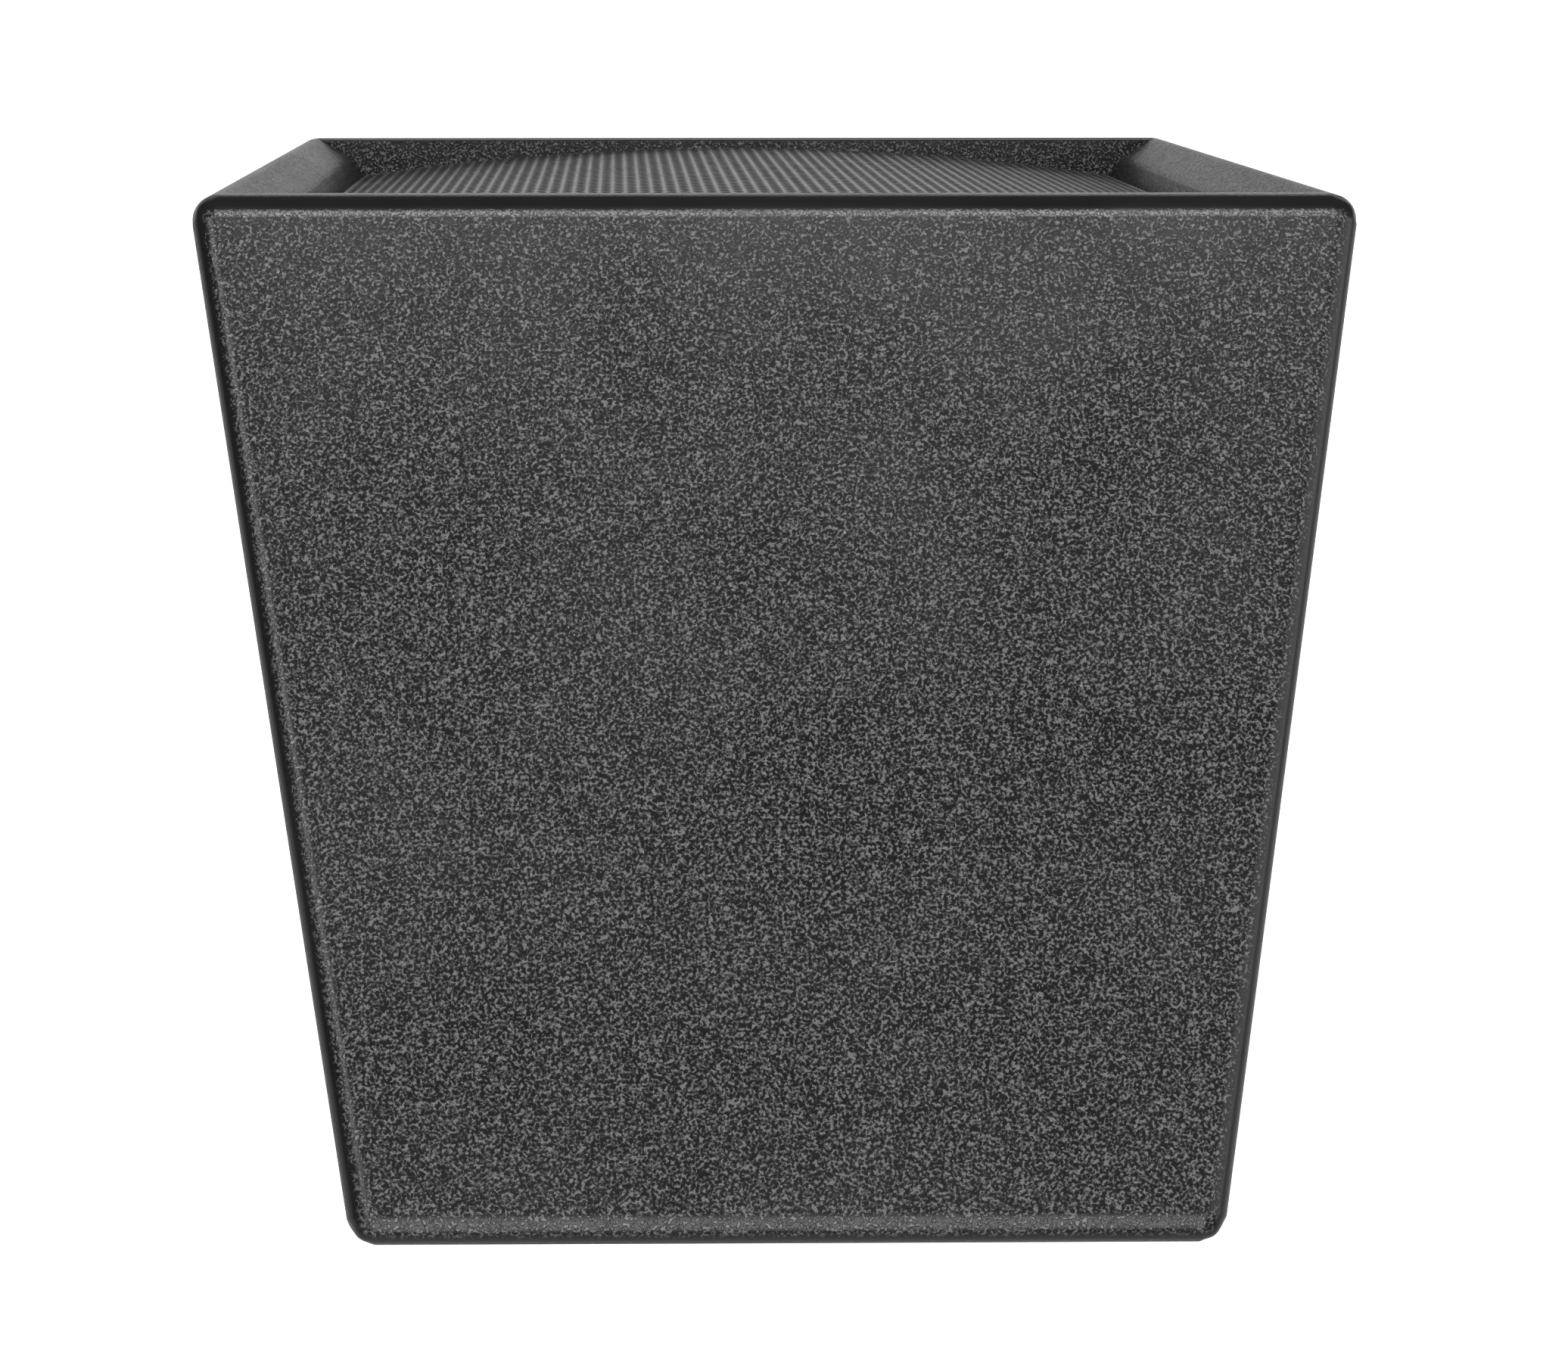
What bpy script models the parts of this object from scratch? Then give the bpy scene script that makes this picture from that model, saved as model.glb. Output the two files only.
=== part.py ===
"""Coaxial stage monitor wedge, built as separate pieces. Metres, +Z up, front towards -Y.

Three frames are used. The world frame has its origin at the middle of the footprint, on the floor.
The cabinet frame is an empty at the middle of the front opening's rim: x across, y up the baffle's
slope, z out of the baffle, so the rim plane is z = 0 and the inside of the cabinet has negative z.
The panel frames are empties on single panels, with z out of the face that they belong to.
"""

from math import cos, pi, radians, sin, tan

import bmesh
import bpy
from mathutils import Matrix, Vector

# Cabinet outline, in the cabinet frame
RIM_WIDTH = 0.430  # across the rim, between the sharp corners of the end panels
RIM_DEPTH = 0.400  # along the slope, from the top edge to the front edge
BODY_DEPTH = 0.348  # from the rim plane to the rear panel's outer face
LIP_DEPTH = 0.070  # height of the front panel below the rim plane
BAFFLE_ANGLE = radians(45)  # rim plane against the floor
END_TAPER = radians(10.5)  # each end panel leans in towards the rear panel
BACK_LEAN = radians(23.5)  # the back panel's foot stands out behind its top edge
WALL = 0.015
EDGE_RADIUS = 0.0095
GAP = 0.0003  # between pieces that touch
FOOT_HEIGHT = 0.008

# Grille and the cheeks beside it
CHEEK_SLOPE = radians(33)
CHEEK_INNER_X = 0.1825
CHEEK_FOOT = -0.030
GRILLE_HALF = 0.1815
GRILLE_CREST = -0.0046
GRILLE_RISE = 0.0130
GRILLE_SHEET = 0.002
FOAM_SHEET = 0.006

# Baffle board and loudspeaker, heights in the cabinet frame
BAFFLE_TOP = -0.045
BAFFLE_THICK = 0.018
DRIVER_Y = 0.008
CUTOUT_RADIUS = 0.1425
BOLT_CIRCLE = 0.1515
PORT_X = 0.1490
PORT_Y = 0.1520
PORT_RADIUS = 0.0270
PORT_LENGTH = 0.070

# Input plate on the rear panel
PLATE_Y = 0.205
PLATE_SIZE = (0.150, 0.090, 0.002)
PLATE_CUTOUT = (0.126, 0.062)
SOCKET_X = 0.038
SOCKET_RADIUS = 0.0120
SOCKET_WALL = 0.0016
SOCKET_DEPTH = 0.026
SOCKET_FLANGE = (0.028, 0.034, 0.003)
SOCKET_SIDES = 12

# Handles in the end panels
HANDLE_Y = 0.120
HANDLE_Z = -0.170
HANDLE_FLANGE = (0.190, 0.098, 0.003)
HANDLE_DISH = (0.160, 0.072, 0.046)
HANDLE_WALL = 0.003

HALF_DEPTH = RIM_DEPTH / 2
SIDES = ((-1, "left"), (1, "right"))
BOX_SIZE = 2.0  # the block that a convex piece is cut from
TURN_STEPS = 32


def new_collection(name, parent):
    collection = bpy.data.collections.new(name)
    parent.children.link(collection)
    return collection


def clear_scene():
    for obj in list(bpy.data.objects):
        bpy.data.objects.remove(obj, do_unlink=True)


clear_scene()
PARTS = new_collection("stage_monitor_wedge", bpy.context.scene.collection)
CUTTERS = new_collection("cutters", bpy.context.scene.collection)
CUTTERS.hide_render = True


def material(name, colour, roughness, metallic=0.0):
    made = bpy.data.materials.new(name)
    made.use_nodes = True
    shader = made.node_tree.nodes["Principled BSDF"]
    shader.inputs["Base Color"].default_value = (*colour, 1.0)
    shader.inputs["Roughness"].default_value = roughness
    shader.inputs["Metallic"].default_value = metallic
    return made


COATING = material("cabinet_coating", (0.030, 0.030, 0.032), 0.55)
PLYWOOD = material("birch_plywood", (0.62, 0.47, 0.30), 0.70)
GRILLE_STEEL = material("coated_grille_steel", (0.035, 0.035, 0.037), 0.45, 0.6)
FOAM = material("acoustic_foam", (0.020, 0.020, 0.021), 0.95)
BASKET = material("cast_basket", (0.08, 0.08, 0.085), 0.45, 0.8)
MAGNET = material("ferrite_magnet", (0.05, 0.05, 0.052), 0.60)
PLATED = material("plated_steel", (0.55, 0.55, 0.56), 0.30, 1.0)
PAPER = material("cone_paper", (0.030, 0.028, 0.026), 0.85)
COPPER = material("copper_winding", (0.72, 0.38, 0.20), 0.35, 1.0)
CLOTH = material("treated_cloth", (0.16, 0.10, 0.05), 0.80)
HORN = material("horn_plastic", (0.020, 0.020, 0.022), 0.40)
TITANIUM = material("titanium_foil", (0.50, 0.50, 0.52), 0.35, 1.0)
RUBBER = material("rubber", (0.025, 0.025, 0.026), 0.85)
BOARD = material("circuit_board", (0.05, 0.16, 0.08), 0.50)
FILM = material("capacitor_film", (0.30, 0.22, 0.08), 0.35)
WADDING = material("polyester_wadding", (0.70, 0.70, 0.68), 0.95)
SCREW_STEEL = material("black_screw_steel", (0.06, 0.06, 0.065), 0.40, 0.9)
PLASTIC = material("socket_plastic", (0.030, 0.030, 0.034), 0.45)


def link(name, mesh, surface, frame, collection=None):
    """An object of this mesh, placed in the given frame."""
    obj = bpy.data.objects.new(name, mesh)
    (collection or PARTS).objects.link(obj)
    obj.parent = frame
    if surface:
        mesh.materials.append(surface)
    return obj


def mesh_from(bm, name):
    mesh = bpy.data.meshes.new(name)
    bm.to_mesh(mesh)
    bm.free()
    return mesh


def smooth(mesh, angle=radians(35)):
    mesh.shade_smooth()
    mesh.set_sharp_from_angle(angle=angle)


def make_frame(name, parent, location, rotation):
    """An empty that pieces are placed in."""
    empty = bpy.data.objects.new(name, None)
    PARTS.objects.link(empty)
    empty.parent = parent
    empty.location = location
    empty.rotation_euler = rotation.to_euler()
    return empty


def as_cutter(obj):
    obj.hide_render = True
    obj.display_type = "WIRE"
    return obj


def cut(obj, cutter, operation="DIFFERENCE"):
    modifier = obj.modifiers.new(operation.lower() + "_" + cutter.name, "BOOLEAN")
    modifier.operation = operation
    modifier.solver = "EXACT"
    modifier.object = cutter


def cabinet_position():
    """Where the rim's middle lies in the world: footprint centred on y, feet on z = 0."""
    front_y = -HALF_DEPTH + EDGE_RADIUS
    front_z = -EDGE_RADIUS
    rear_z = EDGE_RADIUS - BODY_DEPTH
    rear_y = HALF_DEPTH - EDGE_RADIUS / cos(BACK_LEAN) - rear_z * tan(BACK_LEAN)
    spread = (front_y + rear_y) * cos(BAFFLE_ANGLE) - (front_z + rear_z) * sin(BAFFLE_ANGLE)
    height = FOOT_HEIGHT + HALF_DEPTH * sin(BAFFLE_ANGLE) + LIP_DEPTH * cos(BAFFLE_ANGLE)
    return Vector((0, -spread / 2, height))


CABINET = make_frame(
    "cabinet_frame", None, cabinet_position(), Matrix.Rotation(BAFFLE_ANGLE, 4, "X")
)


# Planes in the cabinet frame, each a point, an outward normal and whether it is an outer face


def plane(y, z, normal, inset=0.0, outer=False):
    """A plane that runs straight across the cabinet, moved inwards by the inset."""
    normal = Vector(normal).normalized()
    return Vector((0, y, z)) - normal * inset, normal, outer


def rim_plane(inset=0.0, outer=False):
    return plane(0, 0, (0, 0, 1), inset, outer)


def back_plane(inset=0.0, outer=False):
    return plane(HALF_DEPTH, 0, (0, cos(BACK_LEAN), sin(BACK_LEAN)), inset, outer)


def rear_plane(inset=0.0, outer=False):
    return plane(0, -BODY_DEPTH, (0, 0, -1), inset, outer)


def floor_plane(inset=0.0, outer=False):
    down = (0, -sin(BAFFLE_ANGLE), -cos(BAFFLE_ANGLE))
    return plane(-HALF_DEPTH, -LIP_DEPTH, down, inset, outer)


def lip_plane(inset=0.0, outer=False):
    return plane(-HALF_DEPTH, 0, (0, -1, 0), inset, outer)


def end_plane(side, inset=0.0, outer=False):
    normal = Vector((side * cos(END_TAPER), 0, -sin(END_TAPER)))
    return Vector((side * RIM_WIDTH / 2, 0, 0)) - normal * inset, normal, outer


def cheek_plane(side, outer=False):
    """The slope from the rim's roundover down towards the grille."""
    normal = Vector((-side * sin(CHEEK_SLOPE), 0, cos(CHEEK_SLOPE)))
    centre_x = RIM_WIDTH / 2 - EDGE_RADIUS * (tan(END_TAPER) + 1 / cos(END_TAPER))
    centre = Vector((side * centre_x, 0, -EDGE_RADIUS))
    return centre + normal * EDGE_RADIUS, normal, outer


def flipped(cutting_plane):
    point, normal, outer = cutting_plane
    return point, -normal, outer


def between_ends():
    return [end_plane(-1, WALL + GAP), end_plane(1, WALL + GAP)]


def convex_mesh(name, planes):
    """The solid inside all these planes, with its outer edges weighted for an even roundover."""
    bm = bmesh.new()
    bmesh.ops.create_cube(bm, size=BOX_SIZE)
    tag = bm.faces.layers.int.new("outer")
    for point, normal, outer in planes:
        whole = bm.verts[:] + bm.edges[:] + bm.faces[:]
        sliced = bmesh.ops.bisect_plane(
            bm, geom=whole, plane_co=point, plane_no=normal, clear_outer=True, dist=1e-7
        )
        rim = [item for item in sliced["geom_cut"] if isinstance(item, bmesh.types.BMEdge)]
        cap = bmesh.ops.edgeloop_fill(bm, edges=rim)["faces"]
        for face in cap:
            face[tag] = int(outer)
    bmesh.ops.recalc_face_normals(bm, faces=bm.faces)
    weight_outer_edges(bm, tag)
    return mesh_from(bm, name)


def roundover_width(turn):
    """How far from a sharp edge a roundover of EDGE_RADIUS starts, for this turn of the surface."""
    return EDGE_RADIUS * tan(turn / 2)


WIDEST_TURN = pi / 2 + BACK_LEAN


def weight_outer_edges(bm, tag):
    weight = bm.edges.layers.float.new("bevel_weight_edge")
    for edge in bm.edges:
        first, second = edge.link_faces
        if first[tag] and second[tag]:
            turn = first.normal.angle(second.normal)
            edge[weight] = roundover_width(turn) / roundover_width(WIDEST_TURN)


def panel(name, planes, surface=COATING, rounded=True):
    obj = link(name, convex_mesh(name, planes), surface, CABINET)
    if rounded:
        bevel = obj.modifiers.new("roundover", "BEVEL")
        bevel.limit_method = "WEIGHT"
        bevel.width = roundover_width(WIDEST_TURN)
        bevel.segments = 4
        smooth(obj.data)
    return obj


# Simple shapes, in any frame


def box(name, size, centre, surface, frame, bevel=0.0, collection=None):
    bm = bmesh.new()
    bmesh.ops.create_cube(bm, size=1.0, matrix=Matrix.Diagonal((*size, 1.0)))
    bmesh.ops.translate(bm, verts=bm.verts, vec=centre)
    obj = link(name, mesh_from(bm, name), surface, frame, collection)
    if bevel:
        modifier = obj.modifiers.new("edges", "BEVEL")
        modifier.width = bevel
        modifier.segments = 2
    return obj


def box_cutter(name, size, centre, frame, turn=0.0):
    cutter = as_cutter(box(name, size, Vector((0, 0, 0)), None, frame, 0.0, CUTTERS))
    cutter.location = centre
    cutter.rotation_euler = (0, 0, turn)
    return cutter


def rod(bm, centre, radius, low, high, sides, axis="Z"):
    """A cylinder added to a bmesh, along z from low to high, or across x when axis is X."""
    length = high - low
    place = Matrix.Translation(centre)
    along = Matrix.Rotation(pi / 2, 4, "Y") if axis == "X" else Matrix.Identity(4)
    shift = Matrix.Translation((0, 0, (low + high) / 2))
    bmesh.ops.create_cone(
        bm,
        cap_ends=True,
        segments=sides,
        radius1=radius,
        radius2=radius,
        depth=length,
        matrix=place @ along @ shift,
    )


def rod_cutter(name, centres, radius, low, high, frame, sides=12):
    """One cutter made of a rod at each centre."""
    bm = bmesh.new()
    for centre in centres:
        rod(bm, Vector(centre), radius, low, high, sides)
    return as_cutter(link(name, mesh_from(bm, name), None, frame, CUTTERS))


def signed_area(profile):
    pairs = zip(profile, profile[1:] + profile[:1])
    return sum(a[0] * b[1] - b[0] * a[1] for a, b in pairs) / 2


def turned(name, profile, surface, frame, centre=(0, 0, 0), steps=TURN_STEPS):
    """A ring or disc turned about the frame's z axis from (radius, height) points.

    The points go round the section once. Where two of them lie on the axis, the section is left
    open between them, because the turned surface closes itself there.
    """
    points = profile if signed_area(profile) < 0 else profile[::-1]
    on_axis = [i for i, (radius, _) in enumerate(points) if radius == 0]
    if on_axis:
        start = on_axis[0] if points[on_axis[0] - 1][0] == 0 else on_axis[-1]
        points = points[start:] + points[:start]
    bm = bmesh.new()
    verts = [bm.verts.new((radius, 0, height)) for radius, height in points]
    for first, second in zip(verts, verts[1:]):
        bm.edges.new((first, second))
    if not on_axis:
        bm.edges.new((verts[-1], verts[0]))
    obj = link(name, mesh_from(bm, name), surface, frame)
    obj.location = centre
    screw = obj.modifiers.new("turn", "SCREW")
    screw.axis = "Z"
    screw.steps = steps
    screw.render_steps = steps
    screw.use_smooth_shade = True
    screw.use_merge_vertices = True
    screw.merge_threshold = 1e-5
    return obj


def ring(name, inner, outer, low, high, surface, frame, centre=(0, 0, 0), steps=TURN_STEPS):
    profile = [(inner, high), (outer, high), (outer, low), (inner, low)]
    return turned(name, profile, surface, frame, centre, steps)


# The cabinet


def build_panels():
    panel(
        "back_panel",
        [back_plane(outer=True), flipped(back_plane(WALL)), rim_plane(outer=True)]
        + [rear_plane(outer=True)]
        + between_ends(),
    )
    rear = panel(
        "rear_panel",
        [rear_plane(outer=True), flipped(rear_plane(WALL)), back_plane(WALL + GAP)]
        + [floor_plane(outer=True)]
        + between_ends(),
    )
    floor = panel(
        "floor_panel",
        [floor_plane(outer=True), flipped(floor_plane(WALL)), rear_plane(WALL + GAP)]
        + [lip_plane(WALL + GAP)]
        + between_ends(),
    )
    panel(
        "front_panel",
        [lip_plane(outer=True), flipped(lip_plane(WALL)), rim_plane(outer=True)]
        + [floor_plane(outer=True)]
        + between_ends(),
    )
    return rear, floor


def build_end_panel(side, label):
    around = [back_plane(outer=True), rear_plane(outer=True), floor_plane(outer=True)]
    faces = [end_plane(side, outer=True), flipped(end_plane(side, WALL))]
    top = [cheek_plane(side, outer=True), lip_plane(outer=True)]
    return panel("end_panel_" + label, faces + around + top)


def build_cheek(side, label):
    """The coated strip beside the grille, which carries the end panel's slope further in."""
    inner_face = (Vector((side * CHEEK_INNER_X, 0, 0)), Vector((-side, 0, 0)), False)
    foot = (Vector((0, 0, CHEEK_FOOT)), Vector((0, 0, -1)), False)
    planes = [cheek_plane(side), end_plane(side, WALL + GAP), inner_face, foot]
    planes += [back_plane(WALL + GAP), lip_plane(WALL + GAP)]
    return panel("grille_cheek_" + label, planes, rounded=False)


def build_baffle():
    planes = [rim_plane(-BAFFLE_TOP), flipped(rim_plane(-BAFFLE_TOP + BAFFLE_THICK))]
    planes += [back_plane(WALL + GAP), lip_plane(WALL + GAP)]
    return panel("baffle_board", planes + between_ends(), PLYWOOD, rounded=False)


def arch_height(x, half_width):
    """Height of a shallow arch over its own edges, as a circular arc."""
    radius = (half_width**2 + GRILLE_RISE**2) / (2 * GRILLE_RISE)
    return (radius**2 - x**2) ** 0.5 - (radius - GRILLE_RISE)


def arched_sheet(name, half_width, crest, thickness, surface):
    """A sheet bent to the grille's arch, its outer face reaching the crest height."""
    length = 2 * (HALF_DEPTH - WALL - 2 * GAP)
    columns = 24
    bm = bmesh.new()
    bmesh.ops.create_grid(bm, x_segments=columns, y_segments=1, size=1.0)
    for vert in bm.verts:
        x = vert.co.x * half_width
        height = crest - GRILLE_RISE + arch_height(x, half_width)
        vert.co = Vector((x, vert.co.y * length / 2, height))
    obj = link(name, mesh_from(bm, name), surface, CABINET)
    solidify = obj.modifiers.new("thickness", "SOLIDIFY")
    solidify.thickness = thickness
    solidify.offset = -1.0
    smooth(obj.data)
    return obj


def build_grille():
    arched_sheet("front_grille", GRILLE_HALF, GRILLE_CREST, GRILLE_SHEET, GRILLE_STEEL)
    foam_crest = GRILLE_CREST - GRILLE_SHEET - 2 * GAP
    arched_sheet("grille_foam", GRILLE_HALF - 0.002, foam_crest, FOAM_SHEET, FOAM)


# The coaxial loudspeaker, turned about the driver frame's z axis; heights as in the cabinet frame

FLANGE_TOP = BAFFLE_TOP + 0.006
FLANGE_FOOT = BAFFLE_TOP + GAP
BASKET_FLOOR = -0.118
BASKET_WALL = 0.003
PLATE_TOP = BASKET_FLOOR - BASKET_WALL - GAP
PLATE_THICK = 0.008
MAGNET_THICK = 0.015
BACK_THICK = 0.008
MAGNET_TOP = PLATE_TOP - PLATE_THICK - GAP
BACK_TOP = MAGNET_TOP - MAGNET_THICK - GAP
BACK_FOOT = BACK_TOP - BACK_THICK
COIL_RADIUS = 0.0320
BORE_RADIUS = 0.0155
THROAT_RADIUS = 0.0125
MOTOR_RADIUS = 0.0725
TREBLE_TOP = BACK_FOOT - GAP
TREBLE_RADIUS = 0.045
CHAMBER_TOP = TREBLE_TOP - 0.010
TREBLE_FOOT = TREBLE_TOP - 0.020
CAP_THICK = 0.005


def build_basket(frame):
    section = [
        (0.1575, FLANGE_TOP),
        (0.1575, FLANGE_FOOT),
        (0.1405, FLANGE_FOOT),
        (0.0790, BASKET_FLOOR - BASKET_WALL),
        (0.0400, BASKET_FLOOR - BASKET_WALL),
        (0.0400, BASKET_FLOOR),
        (0.0770, BASKET_FLOOR),
        (0.1375, FLANGE_TOP - 0.0035),
        (0.1375, FLANGE_TOP),
    ]
    basket = turned("woofer_basket", section, BASKET, frame)
    for i in range(3):
        window = box_cutter(
            f"basket_window_{i + 1}",
            (0.4, 0.045, 0.038),
            Vector((0, 0, -0.078)),
            frame,
            turn=i * pi / 3,
        )
        cut(basket, window)
    return basket


def build_motor(frame):
    ring(
        "woofer_pole_plate", 0.0345, MOTOR_RADIUS, PLATE_TOP - PLATE_THICK, PLATE_TOP, PLATED, frame
    )
    ring("woofer_magnet", 0.0400, 0.0700, MAGNET_TOP - MAGNET_THICK, MAGNET_TOP, MAGNET, frame)
    pole = COIL_RADIUS - 0.0012
    section = [
        (BORE_RADIUS, PLATE_TOP),
        (pole, PLATE_TOP),
        (pole, BACK_TOP),
        (MOTOR_RADIUS, BACK_TOP),
        (MOTOR_RADIUS, BACK_FOOT),
        (BORE_RADIUS, BACK_FOOT),
    ]
    turned("woofer_back_plate", section, PLATED, frame)


CONE_RIM = 0.1260
CONE_RIM_TOP = FLANGE_TOP - 0.0006
CONE_NECK_TOP = -0.098


def build_cone(frame):
    neck = COIL_RADIUS + 0.0010
    section = [
        (CONE_RIM, CONE_RIM_TOP),
        (CONE_RIM, CONE_RIM_TOP - 0.0012),
        (CONE_RIM - 0.0050, CONE_RIM_TOP - 0.0012),
        (0.0800, -0.0730),
        (neck + 0.0012, CONE_NECK_TOP - 0.0060),
        (neck, CONE_NECK_TOP - 0.0060),
        (neck, CONE_NECK_TOP),
        (0.0800, -0.0714),
        (CONE_RIM - 0.0050, CONE_RIM_TOP),
    ]
    return turned("woofer_cone", section, PAPER, frame)


def build_voice_coil(frame):
    inner = COIL_RADIUS - 0.0003
    outer = COIL_RADIUS + 0.0004
    winding = COIL_RADIUS + 0.0014
    section = [
        (inner, CONE_NECK_TOP - 0.0005),
        (outer, CONE_NECK_TOP - 0.0005),
        (outer, PLATE_TOP + 0.0025),
        (winding, PLATE_TOP + 0.0025),
        (winding, PLATE_TOP - PLATE_THICK - 0.0045),
        (inner, PLATE_TOP - PLATE_THICK - 0.0045),
    ]
    return turned("voice_coil", section, COPPER, frame)


def build_surround(frame):
    """A half roll between the cone's rim and the basket, with a flat lip on each side."""
    foot = FLANGE_TOP + GAP
    thick = 0.0008
    roll_middle = 0.1325
    roll_radius = 0.0045
    rounds = [pi - i * pi / 6 for i in range(7)]
    outside = [(0.1222, foot + thick)]
    outside += [
        (roll_middle + roll_radius * cos(a), foot + thick + roll_radius * 0.7 * sin(a)) for a in rounds
    ]
    outside += [(0.1450, foot + thick)]
    inside = [(0.1450, foot)]
    inside += [
        (roll_middle + (roll_radius - thick) * cos(a), foot + (roll_radius * 0.7 - thick / 2) * sin(a))
        for a in reversed(rounds)
    ]
    inside += [(0.1222, foot)]
    turned("cone_surround", outside + inside, RUBBER, frame)
    ring("driver_gasket", 0.1380, 0.1450, foot + thick + GAP, foot + thick + 0.0027, RUBBER, frame)


def build_spider(frame):
    """The corrugated centring ring, between the coil's former and the basket."""
    inner = COIL_RADIUS + 0.0026
    outer = 0.0815
    waves = 4
    points = 17
    height = -0.1090
    thick = 0.0006
    top = []
    for i in range(points):
        share = i / (points - 1)
        radius = inner + (outer - inner) * share
        top.append((radius, height + 0.0014 * sin(2 * pi * waves * share)))
    under = [(radius, z - thick) for radius, z in reversed(top)]
    turned("cone_spider", top + under, CLOTH, frame)


def build_treble(frame):
    mouth = -0.060
    horn_foot = BACK_FOOT + 0.0002
    tube = THROAT_RADIUS + 0.0022
    horn = [
        (0.0535, mouth),
        (0.0560, mouth),
        (0.0560, mouth - 0.003),
        (0.0365, -0.079),
        (0.0210, -0.094),
        (tube, -0.108),
        (tube, horn_foot),
        (THROAT_RADIUS, horn_foot),
        (THROAT_RADIUS, -0.108),
        (0.0180, -0.093),
        (0.0335, -0.077),
    ]
    turned("treble_horn", horn, HORN, frame)
    housing = [
        (THROAT_RADIUS, TREBLE_TOP),
        (TREBLE_RADIUS, TREBLE_TOP),
        (TREBLE_RADIUS, TREBLE_FOOT),
        (0.0300, TREBLE_FOOT),
        (0.0300, CHAMBER_TOP),
        (THROAT_RADIUS, CHAMBER_TOP),
    ]
    turned("compression_driver_housing", housing, BASKET, frame)
    plug = [(0, TREBLE_TOP - 0.001), (THROAT_RADIUS - GAP, CHAMBER_TOP), (0, CHAMBER_TOP)]
    turned("phase_plug", plug, HORN, frame, steps=24)
    dome_foot = TREBLE_FOOT + 0.0020
    dome = [(0.0250, dome_foot + 0.0008), (0.0250, dome_foot), (0.0230, dome_foot)]
    dome += [(0.0125, dome_foot + 0.0040), (0, dome_foot + 0.0050)]
    dome += [(0, dome_foot + 0.0056), (0.0130, dome_foot + 0.0046), (0.0225, dome_foot + 0.0008)]
    turned("treble_diaphragm", dome, TITANIUM, frame, steps=24)
    cap_top = TREBLE_FOOT - GAP
    cap_foot = cap_top - CAP_THICK
    cap = [(0, cap_top - 0.0020), (0.0260, cap_top - 0.0020), (0.0280, cap_top), (0.0430, cap_top)]
    cap += [(0.0430, cap_foot + 0.0010), (0.0420, cap_foot), (0, cap_foot)]
    turned("treble_rear_cap", cap, BASKET, frame)


# Screws, each its own piece, with one clearance cutter for the pieces that they go through


def screws(prefix, centres, frame, seat, head_radius, shank_radius, length, through):
    head = head_radius * 0.7
    section = [
        (0, seat + GAP + head),
        (head_radius * 0.7, seat + GAP + head),
        (head_radius, seat + GAP + head * 0.4),
        (head_radius, seat + GAP),
        (shank_radius, seat + GAP),
        (shank_radius, seat - length),
        (0, seat - length),
    ]
    for i, centre in enumerate(centres):
        turned(f"{prefix}_{i + 1}", section, SCREW_STEEL, frame, centre, steps=10)
    clearance = shank_radius + GAP
    holes = rod_cutter(
        prefix + "_holes", centres, clearance, seat - length - GAP, seat + 0.010, frame, sides=10
    )
    for obj in through:
        cut(obj, holes)


def build_driver(baffle):
    frame = make_frame("driver_frame", CABINET, (0, DRIVER_Y, 0), Matrix.Identity(4))
    opening = rod_cutter("driver_cutout", [(0, 0, 0)], CUTOUT_RADIUS, -0.10, 0.0, frame, sides=48)
    cut(baffle, opening)
    basket = build_basket(frame)
    build_motor(frame)
    build_cone(frame)
    build_voice_coil(frame)
    build_surround(frame)
    build_spider(frame)
    build_treble(frame)
    angles = [pi / 8 + i * pi / 4 for i in range(8)]
    centres = [(BOLT_CIRCLE * cos(a), BOLT_CIRCLE * sin(a), 0) for a in angles]
    screws("driver_screw", centres, frame, FLANGE_TOP, 0.0050, 0.0025, 0.020, [basket, baffle])


def build_ports(baffle):
    top = BAFFLE_TOP + 0.003
    section = [
        (PORT_RADIUS - 0.0025, BAFFLE_TOP - PORT_LENGTH),
        (PORT_RADIUS, BAFFLE_TOP - PORT_LENGTH),
        (PORT_RADIUS, BAFFLE_TOP + GAP),
        (PORT_RADIUS + 0.0035, BAFFLE_TOP + GAP),
        (PORT_RADIUS + 0.0035, top - 0.0010),
        (PORT_RADIUS + 0.0025, top),
        (PORT_RADIUS, top),
        (PORT_RADIUS - 0.0025, top - 0.0040),
    ]
    for side, label in SIDES:
        centre = (side * PORT_X, PORT_Y, 0)
        turned("reflex_port_" + label, section, PLASTIC, CABINET, centre, steps=24)
        hole = rod_cutter(
            f"port_hole_{label}", [centre], PORT_RADIUS + GAP, -0.10, 0.0, CABINET, sides=24
        )
        cut(baffle, hole)


# Crossover and wadding on the inner face of the back panel

CROSSOVER_DEPTH = 0.250  # below the rim plane
BOARD_SIZE = (0.150, 0.100, 0.0016)
COIL_STEPS = 20


def build_crossover():
    point, _, _ = back_plane(WALL + GAP)
    along = -CROSSOVER_DEPTH / cos(BACK_LEAN)
    frame = make_frame(
        "back_panel_frame",
        CABINET,
        point + Vector((0, -sin(BACK_LEAN), cos(BACK_LEAN))) * along,
        Matrix.Rotation(pi / 2 + BACK_LEAN, 4, "X"),
    )
    board_top = BOARD_SIZE[2]
    box("crossover_board", BOARD_SIZE, Vector((0, 0, board_top / 2)), BOARD, frame)
    seat = board_top + GAP
    bass_place = (-0.045, 0.018, 0)
    treble_place = (0.010, -0.028, 0)
    ring("bass_inductor", 0.012, 0.024, seat, seat + 0.022, COPPER, frame, bass_place, COIL_STEPS)
    ring("treble_inductor", 0.008, 0.016, seat, seat + 0.014, COPPER, frame, treble_place, COIL_STEPS)
    bm = bmesh.new()
    rod(bm, Vector((0.040, 0.020, seat + 0.0105)), 0.0100, -0.0225, 0.0225, 16, axis="X")
    capacitor = mesh_from(bm, "crossover_capacitor")
    smooth(capacitor)
    link("crossover_capacitor", capacitor, FILM, frame)


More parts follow.
